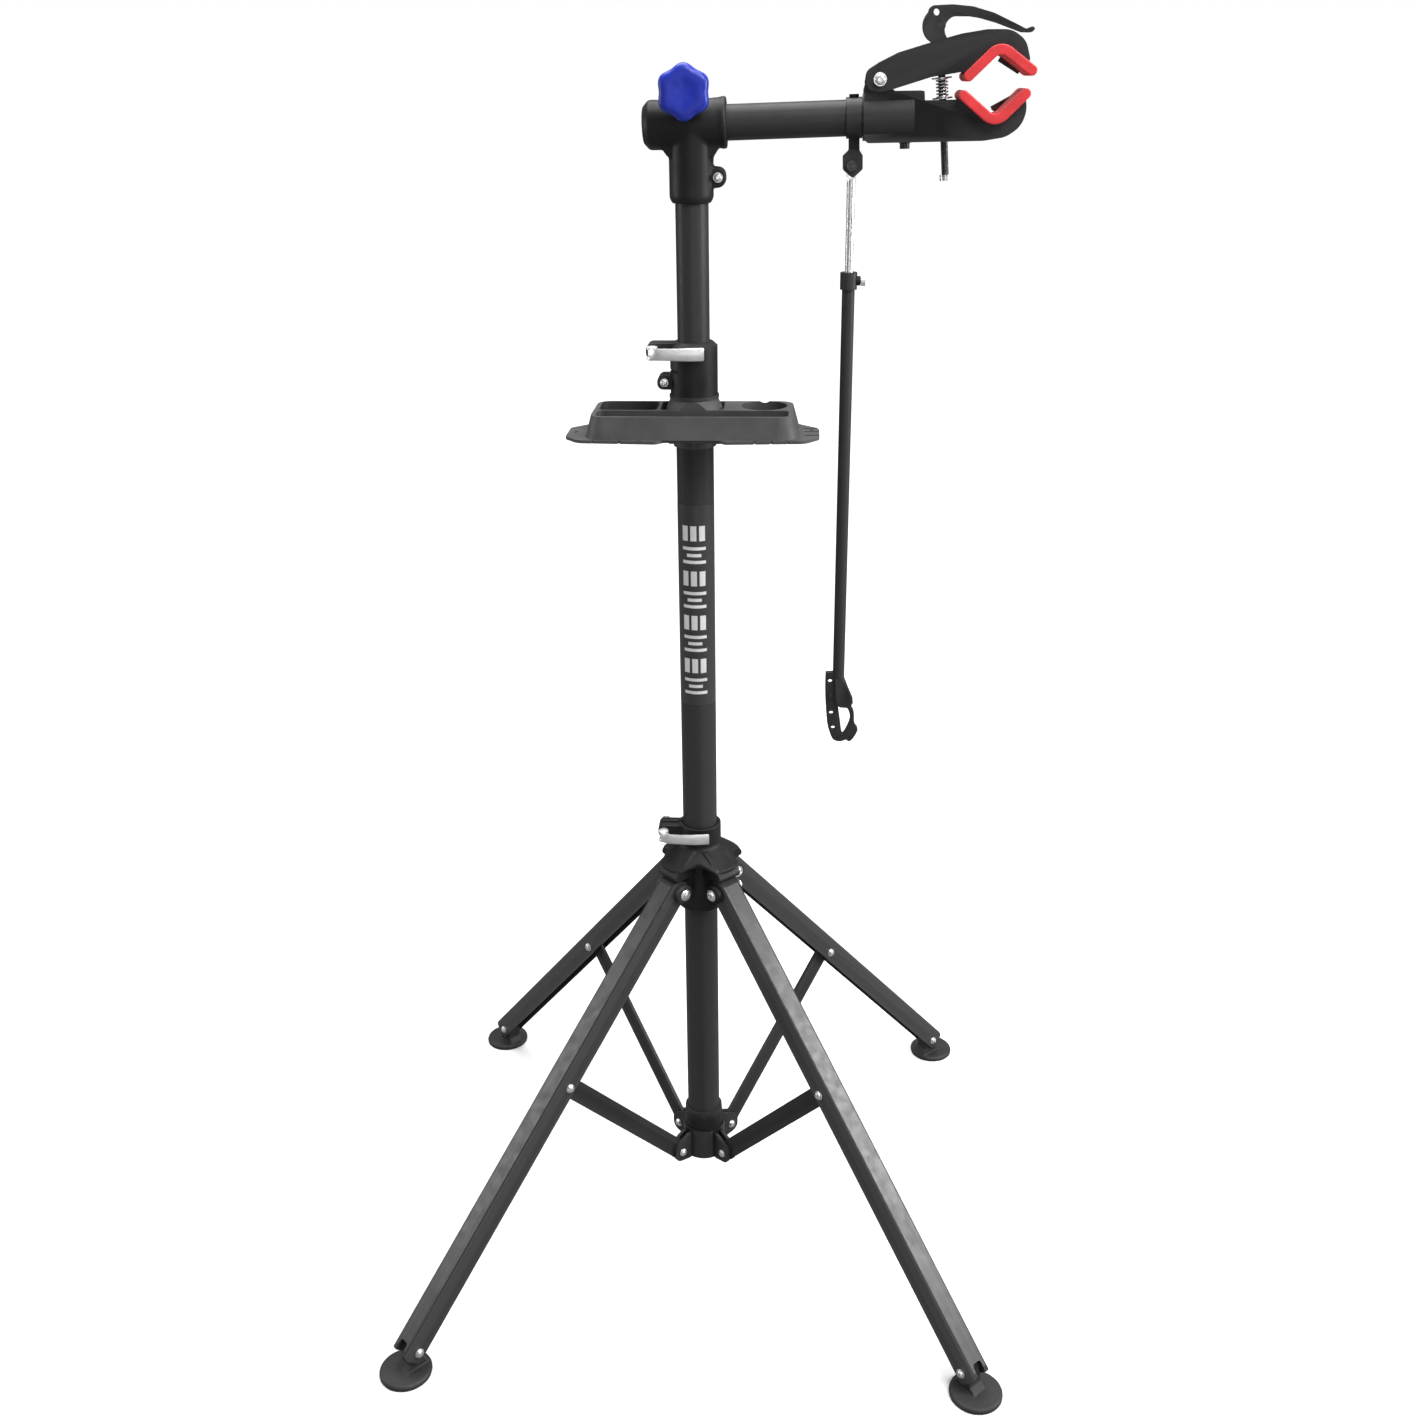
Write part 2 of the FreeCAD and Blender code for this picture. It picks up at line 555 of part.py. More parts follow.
def lower_jaw_block():
    inside = LOWER_PLATE_INSIDE
    outline = [(SOCKET_LENGTH, 19.5), (54.5, 19.2), (55, 11.2), (90, 10.6), (119.3, -13.5)]
    outline += [(142, 7), (143, -8), (138, -14), (126, -20), (110, -21.5), (SOCKET_LENGTH, -21.5)]
    body = on_clamp(side_plate(outline, [1, 1, 1, 4, 8, 1, 3, 3, 6, 6, 2], -inside, inside))
    hole = on_rod(rod(ROD_RADIUS + SLIDE_GAP, vec(0, 0, -150), vec(0, 0, 0)))
    return body.cut(hole)


def pad_strip(points, thick):
    """V-shaped strip of even thickness whose middle line follows three (x, z) points."""
    first = vec(points[1][0] - points[0][0], 0, points[1][1] - points[0][1]).normalize()
    last = vec(points[2][0] - points[1][0], 0, points[2][1] - points[1][1]).normalize()
    bend = first.add(last).normalize()
    mitre = 1.0 / bend.dot(first)
    upper = []
    lower = []
    for point, run, scale in zip(points, (first, bend, last), (1, mitre, 1)):
        across = vec(-run.z, 0, run.x).multiply(scale * thick / 2)
        upper.append((point[0] + across.x, point[1] + across.z))
        lower.append((point[0] - across.x, point[1] - across.z))
    near = thick * 0.47
    inner = PAD_BEND - thick / 2
    outer = PAD_BEND + thick / 2
    rises = first.cross(last).y < 0
    radii = [near, inner if rises else outer, near, near, outer if rises else inner, near]
    return side_plate(upper + lower[::-1], radii, -PAD_HALF_WIDTH, PAD_HALF_WIDTH)


def lower_jaw_pads():
    pad = pad_strip(LOWER_PAD, PAD_THICKNESS)
    seat = fuse(lower_jaw_plates() + [lower_jaw_block()])
    return on_clamp(pad).cut(seat)


def jaw_pivot_bolt():
    outside = LOWER_PLATE_INSIDE + 2 * PLATE_THICKNESS + 2 * SIDE_GAP
    return on_clamp(bolt_y(JAW_PIVOT, JAW_BOLT_RADIUS, 6.0, -outside, outside, 4.0))


def upper_jaw_outline():
    outline = [(2, 29), (4, 40), (15.6, 46.7), (33.6, 54.5), (62.5, 61.7), (87.5, 67.5), (110, 70.2)]
    outline += [(132, 69.5), (145, 60), (149, 45.0), (148, 39.5), (121.9, 59.4), (96, 36.2)]
    outline += [(87, 35.5), (61.3, 32.4), (26, 23.2), (15, 21.6), (6, 23)]
    radii = [4, 8, 20, 20, 20, 20, 20, 22, 18, 2, 1, 8, 2, 3, 10, 10, 6, 6]
    return outline, radii


def upper_jaw_plates():
    outline, radii = upper_jaw_outline()
    inside = LOWER_PLATE_INSIDE + PLATE_THICKNESS + SIDE_GAP
    outside = inside + PLATE_THICKNESS
    plates = [side_plate(outline, radii, -outside, -inside), side_plate(outline, radii, inside, outside)]
    hole = pin_y(JAW_PIVOT, JAW_BOLT_RADIUS + PIN_GAP, -40, 40)
    return [on_clamp(plate.cut(hole)) for plate in plates]


def upper_jaw_block():
    inside = LOWER_PLATE_INSIDE + PLATE_THICKNESS + SIDE_GAP
    outline = [(46, 30.2), (61.3, 33.4), (87, 37), (95, 38), (121.9, 61.5), (146, 43.5), (145, 54)]
    outline += [(140, 61), (130, 66), (110, 67), (92, 64), (86, 58.2), (46, 55)]
    radii = [1, 6, 4, 2, 8, 1, 2, 4, 6, 10, 4, 4, 1]
    body = side_plate(outline, radii, -inside, inside)
    slot = flat_plate(box_outline(56, 86, -ROD_RADIUS - 0.8, ROD_RADIUS + 0.8), 2, 0, 90)
    return on_clamp(body.cut(slot))


def upper_jaw_pads():
    pad = pad_strip(UPPER_PAD, PAD_THICKNESS)
    seat = fuse(upper_jaw_plates() + [upper_jaw_block()])
    return on_clamp(pad).cut(seat)


def clamp_rod():
    bar = rod(ROD_RADIUS, vec(0, 0, -4), vec(0, 0, -ROD_LENGTH))
    eye = pin_y((0, 0), ROD_EYE_RADIUS, -2.6, 2.6)
    hole = pin_y((0, 0), LEVER_PIN_RADIUS, -10, 10)
    return on_rod(fuse([bar, eye]).cut(hole))


def rod_end_nut():
    nut = rod(5.2, vec(0, 0, -ROD_LENGTH), vec(0, 0, -ROD_LENGTH + 5))
    return on_rod(nut.cut(rod(ROD_RADIUS, vec(0, 0, -ROD_LENGTH - 1), vec(0, 0, -ROD_LENGTH + 6))))


def lever_pin():
    return on_rod(pin_y((0, 0), LEVER_PIN_RADIUS, -LEVER_HALF_WIDTH, LEVER_HALF_WIDTH))


def cam_lever():
    head = pin_y(ROD_PIN, CAM_RADIUS, -LEVER_HALF_WIDTH, LEVER_HALF_WIDTH)
    outline = [(58, 84), (60, 91.8), (80, 92), (98.1, 89.7), (117, 83.8), (136.1, 74.6)]
    outline += [(146.5, 69.3), (151.8, 71.4), (154.6, 69.4), (151.2, 66.4), (142.7, 66.9), (132, 71.0)]
    outline += [(119.8, 75.7), (104.7, 80.2), (95.9, 81.8), (84, 82.3), (76, 76), (68, 70)]
    radii = [2, 9, 20, 20, 20, 12, 5, 1.4, 1.4, 3, 6, 12, 20, 20, 12, 3, 3, 4]
    arm = side_plate(outline, radii, -LEVER_HALF_WIDTH, LEVER_HALF_WIDTH)
    hang_hole = pin_y((66.0, 86.4), 3.0, -20, 20)
    pin_hole = pin_y(ROD_PIN, LEVER_PIN_RADIUS + PIN_GAP, -20, 20)
    inner_bend = pin_y((84, 71.5), 10.8, -20, 20)
    return on_clamp(cut(fuse([head, arm]), [inner_bend, hang_hole, pin_hole, eye_slot()]))


def eye_slot():
    """Slot in the lever head for the eye of the clamp rod, open where the lever swings."""
    half = ROD_RADIUS + SIDE_GAP
    ring = pin_y(ROD_PIN, CAM_RADIUS + 1, -half, half)
    keep = pin_y(ROD_PIN, ROD_EYE_RADIUS + SIDE_GAP, -4, 4)
    x, z = ROD_PIN
    path = [(x - 30, z + 4.5), (x - 30, z - 30), (x + 5.5, z - 30), (x + 4.5, z + 4.5)]
    swing = side_plate(path, 0, -4, 4)
    return ring.common(fuse([keep, swing]))


def spring_coil(radius, wire, height, turns):
    helix = Part.makeHelix(height / turns, height, radius)
    section = Part.Wire(Part.makeCircle(wire, vec(radius, 0, 0), vec(0, 1, 0)))
    return Part.Wire(helix).makePipeShell([section], True, True)


def jaw_spring():
    coil = spring_coil(SPRING_RADIUS, SPRING_WIRE, SPRING_LENGTH, SPRING_TURNS)
    coil.translate(vec(0, 0, SPRING_FOOT))
    return on_rod(coil)


def hanger_strap():
    half = 7.3
    ring = rod(ARM_RADIUS + 2, vec(HANGER_AT - half, 0, 0), vec(HANGER_AT + half, 0, 0))
    crown = rod(4.5, vec(HANGER_AT, 0, 0), vec(HANGER_AT, 0, ARM_RADIUS + 4.5))
    outline = [(HANGER_AT - 5, -10), (HANGER_AT + 5, -10), (HANGER_AT + 5, -28), (160, -33), (160, -45)]
    outline += [(HANGER_BOLT[0] + 1, -53), (141.5, -45), (141.5, -33), (HANGER_AT - 5, -28)]
    radii = [0, 0, 3, 2, 3, 3, 3, 2, 3]
    cheeks = side_plate(outline, radii, -4.9, 4.9)
    half = EYE_HALF_WIDTH + SIDE_GAP
    gap = block(HANGER_AT - 22, HANGER_AT + 23, -half, half, -60, -ARM_RADIUS - 4.5)
    bore = rod(ARM_RADIUS, vec(HANGER_AT - 20, 0, 0), vec(HANGER_AT + 20, 0, 0))
    hole = pin_y(HANGER_BOLT, 2.5, -20, 20)
    return on_arm(cut(fuse([ring, crown, cheeks]), [gap, bore, hole]))


def hanger_bolt():
    return on_arm(bolt_y(HANGER_BOLT, 2.5, 4.9, -4.9, 4.9, 3.2))


# ---- stabiliser --------------------------------------------------------------------
def hanger_point():
    """Place of the stabiliser pivot on the stand, from its place on the arm."""
    rise = math.radians(ARM_RISE)
    x = HANGER_BOLT[0] * math.cos(rise) - HANGER_BOLT[1] * math.sin(rise)
    z = HANGER_BOLT[0] * math.sin(rise) + HANGER_BOLT[1] * math.cos(rise) + ARM_HEIGHT
    return x, z


def stabiliser_rod():
    x, z = hanger_point()
    bar = rod(STAB_RADIUS, vec(x, 0, z - 12.5), vec(x, 0, STAB_BOTTOM))
    half = EYE_HALF_WIDTH
    eye = pin_y((x, z), 6.5, -half, half)
    flat = block(x - 4.5, x + 4.5, -half, half, z - 14, z)
    return fuse([bar, eye, flat]).cut(pin_y((x, z), 2.5 + PIN_GAP, -10, 10))


def stabiliser_tube():
    x = hanger_point()[0]
    return pipe(TUBE_RADIUS, STAB_RADIUS + SLIDE_GAP, vec(x, 0, TUBE_BOTTOM), vec(x, 0, TUBE_TOP))


def tube_lock_collar():
    x = hanger_point()[0]
    ring = rod(8.2, vec(x, 0, TUBE_TOP), vec(x, 0, TUBE_TOP + LOCK_HEIGHT))
    z = TUBE_TOP + LOCK_HEIGHT - LOCK_SCREW_DROP
    boss = rod(4.5, vec(x, 0, z), vec(x + 11.5, 0, z))
    bore = rod(STAB_RADIUS + SLIDE_GAP, vec(x, 0, TUBE_TOP - 1), vec(x, 0, TUBE_TOP + LOCK_HEIGHT + 1))
    screw = rod(2.0 + PIN_GAP, vec(x, 0, z), vec(x + 30, 0, z))
    return cut(fuse([ring, boss]), [bore, screw])


def lock_screw():
    x = hanger_point()[0]
    z = TUBE_TOP + LOCK_HEIGHT - LOCK_SCREW_DROP
    shaft = rod(2.0, vec(x + STAB_RADIUS + SLIDE_GAP, 0, z), vec(x + 14, 0, z))
    head = rod(5.0, vec(x + 12, 0, z), vec(x + 16, 0, z))
    return fuse([shaft, head])


def holder_bracket():
    x = hanger_point()[0]
    z = TUBE_BOTTOM
    outline = [(x - 3.5, z + 30), (x + 6.5, z + 26), (x + 11, z + 14), (x + 16.2, z + 2), (x + 13, z - 4.5),
               (x + 2, z - 4), (x - 2, z)]
    body = side_plate(outline, [2, 3, 6, 1.5, 1.5, 4, 2], -7.5, 7.5)
    bore = rod(TUBE_RADIUS, vec(x, 0, z), vec(x, 0, z + 56))
    return body.cut(bore)


def holder_strap():
    x = hanger_point()[0]
    z = TUBE_BOTTOM
    half = HOLDER_HALF_THICKNESS
    outer = [(x - 13, z + 34), (x - 3, z + 35), (x + 1, z - 4), (x + 15, z - 3), (x + 19.3, z - 14)]
    outer += [(x + 19.3, z - 26), (x + 22.6, z - 31), (x + 17.5, z - 42), (x + 13.3, z - 46.5)]
    outer += [(x + 9.5, z - 43.5), (x + 5, z - 46), (x + 1, z - 38), (x - 6, z - 4), (x - 11, z + 13)]
    body = side_plate(outer, [3, 2, 3, 2, 4, 2, 2, 3, 2, 2, 2, 6, 8, 8], -half, half)
    window = side_plate([(x + 1, z + 1), (x + 9, z), (x + 13.5, z - 7), (x + 15.3, z - 22),
                         (x + 9, z - 35), (x + 6, z - 35), (x + 3, z - 19)],
                        [1, 3, 4, 3, 1, 1, 5], -half - 1, half + 1)
    tools = [window]
    holes = [(-6.8, 24, 2.5), (-3.6, -12.3, 2.5), (-0.6, -30, 2.5), (3.4, -41.6, 1.0), (13.5, -42, 1.0)]
    for hole_x, hole_z, radius in holes:
        tools.append(pin_y((x + hole_x, z + hole_z), radius, -half - 1, half + 1))
    peg = pin_y((x - 5.2, z + 6.4), 3.6, -4.5, 4.5)
    seat = rod(TUBE_RADIUS, vec(x, 0, z), vec(x, 0, z + 56))
    return cut(fuse([cut(body, tools), peg]), [holder_bracket(), seat])


# ---- legs --------------------------------------------------------------------------
def leg_profile():
    """Side view of a leg in its own frame: round top end, square foot end."""
    middle = (LEG_OUTSIDE - LEG_INSIDE) / 2.0
    end = FOOT_BOLT_ALONG + 12
    top = pin_y((0, middle), LEG_HALF_WIDTH, -LEG_HALF_WIDTH, LEG_HALF_WIDTH)
    outline = [(0, -LEG_INSIDE), (end, -LEG_INSIDE), (end, LEG_OUTSIDE), (0, LEG_OUTSIDE)]
    return fuse([top, side_plate(outline, [0, 5, 8, 0], -LEG_HALF_WIDTH, LEG_HALF_WIDTH)])


def leg_bolt_stations():
    return [(STRUT_REACH, 0.0), (FOOT_BOLT_ALONG, 0.0)]


def leg_channel(angle):
    half = LEG_HALF_WIDTH
    start = -20
    end = FOOT_BOLT_ALONG + 20
    outside = [(-half, -LEG_INSIDE), (half, -LEG_INSIDE), (half, LEG_OUTSIDE), (-half, LEG_OUTSIDE)]
    inner = half - LEG_WALL
    inside = [(-inner, -LEG_INSIDE - 1), (inner, -LEG_INSIDE - 1), (inner, LEG_OUTSIDE - LEG_WEB)]
    inside.append((-inner, LEG_OUTSIDE - LEG_WEB))
    tube = channel_bar(outside, [0, 0, 3.2, 3.2], start, end)
    tube = tube.cut(channel_bar(inside, [0, 0, 1.2, 1.2], start - 1, end + 1))
    body = tube.common(leg_profile())
    notch = flat_plate(box_outline(FOOT_BOLT_ALONG - 4, end, -6, 6), 3, 10, 30)
    tools = [notch, pin_y((0, 0), LEG_BOLT_RADIUS + PIN_GAP, -30, 30)]
    for station in leg_bolt_stations():
        tools.append(pin_y(station, LEG_BOLT_RADIUS, -30, 30))
    return turned(along_leg(cut(body, tools)), angle)


def leg_bolts(angle):
    half = LEG_HALF_WIDTH
    bolts = [bolt_y(at, LEG_BOLT_RADIUS, 5.2, -half, half, 3.6) for at in leg_bolt_stations()]
    return [turned(along_leg(bolt), angle) for bolt in bolts]


def strut_end():
    """Upper end of a strut, where it meets the leg."""
    slope = math.radians(leg_slope())
    return (HUB_PIVOT[0] + STRUT_REACH * math.cos(slope), HUB_PIVOT[1] - STRUT_REACH * math.sin(slope))


def strut(angle):
    half = STRUT_THICKNESS / 2
    top = strut_end()
    bar = capsule(BASE_PIVOT, top, STRUT_HALF_WIDTH, -half, half)
    tools = [pin_y(at, LEG_BOLT_RADIUS + PIN_GAP, -10, 10) for at in (BASE_PIVOT, top)]
    return turned(cut(bar, tools), angle)


def foot_bolt_point():
    slope = math.radians(leg_slope())
    x = HUB_PIVOT[0] + FOOT_BOLT_ALONG * math.cos(slope)
    return (x, HUB_PIVOT[1] - FOOT_BOLT_ALONG * math.sin(slope))


def foot(angle):
    x, z = foot_bolt_point()
    centre = x + FOOT_OFFSET
    sole = 0.0
    half = LEG_HALF_WIDTH - LEG_WALL - 1.5
    disc = rod(FOOT_RADIUS, vec(centre, 0, sole), vec(centre, 0, sole + FOOT_THICKNESS - 2))
    top = Part.makeCone(FOOT_RADIUS, FOOT_RADIUS - 2, 2, vec(centre, 0, sole + FOOT_THICKNESS - 2))
    tongue = capsule((x, z), (x + 2, sole + 9), 8.5, -half, half)
    skirt = side_plate([(x - 14, sole + 5), (x + 18, sole + 5), (x + 9, sole + 14), (x - 7, sole + 14)],
                       [0, 0, 3, 3], -half, half)
    hole = pin_y((x, z), LEG_BOLT_RADIUS + PIN_GAP, -20, 20)
    under = block(x - 60, x + 60, -40, 40, sole - 30, sole)
    return turned(cut(fuse([disc, top, tongue, skirt]), [hole, under]), angle)


# ---- leg hub -------------------------------------------------------------------------
def revolved(points):
    """Solid turned about the mast axis from (radius, height) corner points."""
    face = rounded_face(points, 0, lambda p: vec(p.x, 0, p.y))
    return face.revolve(vec(0, 0, 0), vec(0, 0, 1), 360)


def hub_hood():
    """Hood over one leg top: its outside and the pocket the leg swings in."""
    x, z = HUB_PIVOT
    outer = LEG_HALF_WIDTH + HOOD_GAP + HOOD_WALL
    roof = [(x - 30, z + 16.5), (x - 30, z + 47), (x - 16, z + 46), (x - 9, z + 41), (x + 2, z + 31.5)]
    roof += [(x + 7.5, z + 26), (x + 10.5, z + 20.5), (x + 9, z + 17.2), (x + 5, z + 16.5)]
    roof += [(x - 6, z + 16.5)]
    shell = side_plate(roof, [0, 2, 4, 10, 14, 5, 2, 1, 2, 3], -outer, outer)
    wide = LEG_HALF_WIDTH + HOOD_GAP
    reach = LEG_OUTSIDE + HOOD_GAP
    pocket = pin_y((x, z), reach, -wide, wide)
    slope = math.radians(leg_slope())
    corners = []
    for along, out in ((0, reach), (80, reach), (80, -60), (0, -60)):
        corners.append((x + along * math.cos(slope) + out * math.sin(slope),
                        z - along * math.sin(slope) + out * math.cos(slope)))
    swing = side_plate(corners, 0, -wide, wide)
    below = block(HUB_SLEEVE_RADIUS, x + reach, -wide, wide, z - 60, z)
    keep = block(HUB_SLEEVE_RADIUS, 200, -wide, wide, z - 150, z + 150)
    return shell, fuse([pocket, swing, below]).common(keep)


def leg_hub():
    x, z = HUB_PIVOT
    ring_radius = HUB_RING_RADIUS
    dome = revolved([(0, z + 25), (x + 8, z + 25), (x + 8, z + 29), (x + 1, z + 34), (x - 8, z + 40.5),
                     (ring_radius + 2.1, z + 46), (ring_radius, z + 49), (0, z + 49)])
    hollow = revolved([(0, z + 15), (x + 10, z + 15), (x + 10, z + 26), (x - 1, z + 31), (x - 10, z + 37),
                       (0, z + 37)])
    core = rod(HUB_SLEEVE_RADIUS, vec(0, 0, HUB_BOTTOM), vec(0, 0, z + 41))
    ring = rod(ring_radius, vec(0, 0, z + 45), vec(0, 0, HUB_TOP))
    lug, slit = pinch_ears(QR_SIDE - 7, 6, HUB_LEVER_HEIGHT, 7.5, 1.5)
    hoods = []
    pockets = []
    tongues = []
    tongue_half = LEG_HALF_WIDTH - LEG_WALL - SIDE_GAP
    for angle in LEG_ANGLES.values():
        shell, pocket = hub_hood()
        tongue = side_plate([(x - 30, z - 22), (x - 6, z - 22), (x + 10, z - 8), (x + 10, z + 8),
                             (x - 6, z + 16), (x - 30, z + 16)],
                            [0, 6, 8, 8, 6, 0], -tongue_half, tongue_half)
        hoods.append(turned(shell, angle))
        pockets.append(turned(pocket, angle))
        tongues.append(turned(tongue, angle))
    arch = [(0, -x + 3.5), (22, -x - 4.5), (34, -x - 20), (-34, -x - 20), (-22, -x - 4.5)]
    notch = flat_plate(arch, [7, 0, 0, 0, 0], z + 10, z + 60)
    dome = cut(dome, [turned(notch, quarter) for quarter in (0, 90, 180, 270)])
    shell = fuse([dome] + hoods).cut(hollow.cut(fuse(hoods)))
    body = cut(shell, pockets)
    body = fuse([body, core, ring, lug] + tongues)
    bore = rod(MAST_RADIUS + SLIDE_GAP, vec(0, 0, HUB_BOTTOM - 1), vec(0, 0, HUB_TOP + 1))
    back_slit = block(-60, -1, -1.5, 1.5, z + 50, HUB_TOP + 1)
    tools = [bore, slit, back_slit, pin_y((QR_SIDE, HUB_LEVER_HEIGHT), QR_BOLT_RADIUS, -20, 20)]
    for angle in LEG_ANGLES.values():
        tools.append(turned(pin_y(HUB_PIVOT, LEG_BOLT_RADIUS, -30, 30), angle))
    return cut(body, tools)


def leg_pivot_bolts():
    bolts = []
    half = LEG_HALF_WIDTH + SIDE_GAP
    for angle in LEG_ANGLES.values():
        bolts.append(turned(bolt_y(HUB_PIVOT, LEG_BOLT_RADIUS, 5.0, -half, half, 3.6), angle))
    return bolts


# ---- lower hub -----------------------------------------------------------------------
def ear_inside():
    return STRUT_THICKNESS / 2 + SIDE_GAP


def lower_hub():
    x, z = BASE_PIVOT
    sleeve = rod(BASE_RADIUS, vec(0, 0, BASE_BOTTOM), vec(0, 0, BASE_RIM))
    root = BASE_NECK_RADIUS + 1.2
    neck = Part.makeCone(root, BASE_NECK_RADIUS, BASE_TOP - BASE_RIM, vec(0, 0, BASE_RIM))
    outside = ear_inside() + EAR_THICKNESS
    profile = [(x - 25, z - 14), (x - 10, z - 14), (x + EAR_RADIUS, z - EAR_RADIUS),
               (x + EAR_RADIUS, z + EAR_RADIUS), (x - 10, z + 20.6), (x - 25, z + 22)]
    lug = side_plate(profile, [0, 8, EAR_RADIUS - 0.5, EAR_RADIUS - 0.5, 8, 0], -outside, outside)
    gap = block(BASE_RADIUS, 70, -ear_inside(), ear_inside(), z - 40, z + 50)
    ears = [turned(lug.cut(gap), angle) for angle in LEG_ANGLES.values()]
    body = fuse([sleeve, neck] + ears)
    tools = [rod(MAST_RADIUS, vec(0, 0, BASE_BOTTOM - 1), vec(0, 0, BASE_TOP + 1))]
    for angle in LEG_ANGLES.values():
        tools.append(turned(pin_y(BASE_PIVOT, LEG_BOLT_RADIUS, -30, 30), angle))
    return cut(body, tools)


def lower_hub_bolts():
    half = ear_inside() + EAR_THICKNESS
    bolts = []
    for angle in LEG_ANGLES.values():
        bolts.append(turned(bolt_y(BASE_PIVOT, LEG_BOLT_RADIUS, 5.0, -half, half, 3.2), angle))
    return bolts


# ---- export ----------------------------------------------------------------------------
def compound(shape):
    if isinstance(shape, list):
        return Part.makeCompound(shape)
    return shape


def all_nodes():
    nodes = {}
    plain = [lower_mast_tube, mast_bushing, mast_label, height_collar, collar_bolt, tool_tray]
    plain += [lower_hub, lower_hub_bolts, upper_mast_tube, head_fitting, head_pinch_bolt, knob_bolt]
    plain += [clamp_knob, arm_tube, clamp_socket, socket_screw, lower_jaw_plates, lower_jaw_block]
    plain += [lower_jaw_pads, jaw_pivot_bolt, upper_jaw_plates, upper_jaw_block, upper_jaw_pads]
    plain += [clamp_rod, rod_end_nut, lever_pin, cam_lever, jaw_spring, hanger_strap, hanger_bolt]
    plain += [stabiliser_rod, stabiliser_tube, tube_lock_collar, lock_screw, holder_bracket]
    plain += [holder_strap, leg_hub, leg_pivot_bolts]
    for build in plain:
        nodes[build.__name__] = build()
    nodes["height_skewer"] = quick_skewer(COLLAR_LEVER_HEIGHT)
    nodes["height_lever"] = quick_lever(COLLAR_LEVER_HEIGHT)
    nodes["hub_skewer"] = quick_skewer(HUB_LEVER_HEIGHT)
    nodes["hub_lever"] = quick_lever(HUB_LEVER_HEIGHT)
    for place, angle in LEG_ANGLES.items():
        nodes["leg_" + place] = leg_channel(angle)
        nodes["leg_bolts_" + place] = leg_bolts(angle)
        nodes["strut_" + place] = strut(angle)
        nodes["foot_" + place] = foot(angle)
    return nodes


os.makedirs("parts", exist_ok=True)
for name, shape in all_nodes().items():
    compound(shape).exportStep("parts/" + name + ".step")
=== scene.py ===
import bpy
import bmesh
import json
import math
from mathutils import Matrix, Vector


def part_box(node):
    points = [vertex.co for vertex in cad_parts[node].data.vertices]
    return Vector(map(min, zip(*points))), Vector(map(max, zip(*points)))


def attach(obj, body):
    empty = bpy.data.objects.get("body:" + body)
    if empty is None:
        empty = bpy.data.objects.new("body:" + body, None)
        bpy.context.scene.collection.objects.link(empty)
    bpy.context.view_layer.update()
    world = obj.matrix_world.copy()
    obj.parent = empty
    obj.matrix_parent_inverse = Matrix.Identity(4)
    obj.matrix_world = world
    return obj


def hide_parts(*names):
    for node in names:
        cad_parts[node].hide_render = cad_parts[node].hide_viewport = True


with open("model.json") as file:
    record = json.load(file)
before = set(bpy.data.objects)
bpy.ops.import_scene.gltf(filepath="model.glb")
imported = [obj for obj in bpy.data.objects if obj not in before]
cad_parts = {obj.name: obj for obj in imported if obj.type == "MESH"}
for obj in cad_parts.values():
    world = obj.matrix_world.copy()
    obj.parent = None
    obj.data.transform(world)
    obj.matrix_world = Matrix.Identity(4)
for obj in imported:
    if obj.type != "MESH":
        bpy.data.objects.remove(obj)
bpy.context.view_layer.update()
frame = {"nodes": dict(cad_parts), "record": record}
NODES = frame["nodes"]
LEG_ANGLES = {"front_right": -45.0, "rear_right": 45.0, "rear_left": 135.0, "front_left": -135.0}
MM = 0.001


# ---- materials -------------------------------------------------------------------
def new_material(name):
    material = bpy.data.materials.new(name)
    material.use_nodes = True
    tree = material.node_tree
    tree.nodes.clear()
    output = tree.nodes.new("ShaderNodeOutputMaterial")
    shader = tree.nodes.new("ShaderNodeBsdfPrincipled")
    tree.links.new(shader.outputs[0], output.inputs["Surface"])
    return material, tree, shader


def object_noise(tree, scale, detail=2.0, stretch=(1, 1, 1), rough=0.5):
    """Noise in the object's own coordinates, in metres."""
    coords = tree.nodes.new("ShaderNodeTexCoord")
    mapping = tree.nodes.new("ShaderNodeMapping")
    mapping.inputs["Scale"].default_value = stretch
    noise = tree.nodes.new("ShaderNodeTexNoise")
    noise.inputs["Scale"].default_value = scale
    noise.inputs["Detail"].default_value = detail
    noise.inputs["Roughness"].default_value = rough
    tree.links.new(coords.outputs["Object"], mapping.inputs["Vector"])
    tree.links.new(mapping.outputs["Vector"], noise.inputs["Vector"])
    return noise.outputs["Fac"]


def ramp(tree, source, stops):
    """Colour ramp through (position, grey or colour) stops."""
    node = tree.nodes.new("ShaderNodeValToRGB")
    while len(node.color_ramp.elements) < len(stops):
        node.color_ramp.elements.new(0.5)
    for element, (place, value) in zip(node.color_ramp.elements, stops):
        element.position = place
        colour = value if isinstance(value, tuple) else (value, value, value)
        element.color = (colour[0], colour[1], colour[2], 1.0)
    tree.links.new(source, node.inputs["Fac"])
    return node.outputs["Color"]


def bump(tree, shader, source, strength, distance):
    node = tree.nodes.new("ShaderNodeBump")
    node.inputs["Strength"].default_value = strength
    node.inputs["Distance"].default_value = distance
    tree.links.new(source, node.inputs["Height"])
    previous = shader.inputs["Normal"]
    if previous.is_linked:
        tree.links.new(previous.links[0].from_socket, node.inputs["Normal"])
    tree.links.new(node.outputs["Normal"], previous)


def shade(colour, factor):
    return tuple(min(1.0, part * factor) for part in colour)


WEAR_STARTS = 0.52
WEAR_FULL = 0.60
WEAR_AMOUNT = 0.55
COAT_ROUGHNESS = 0.28


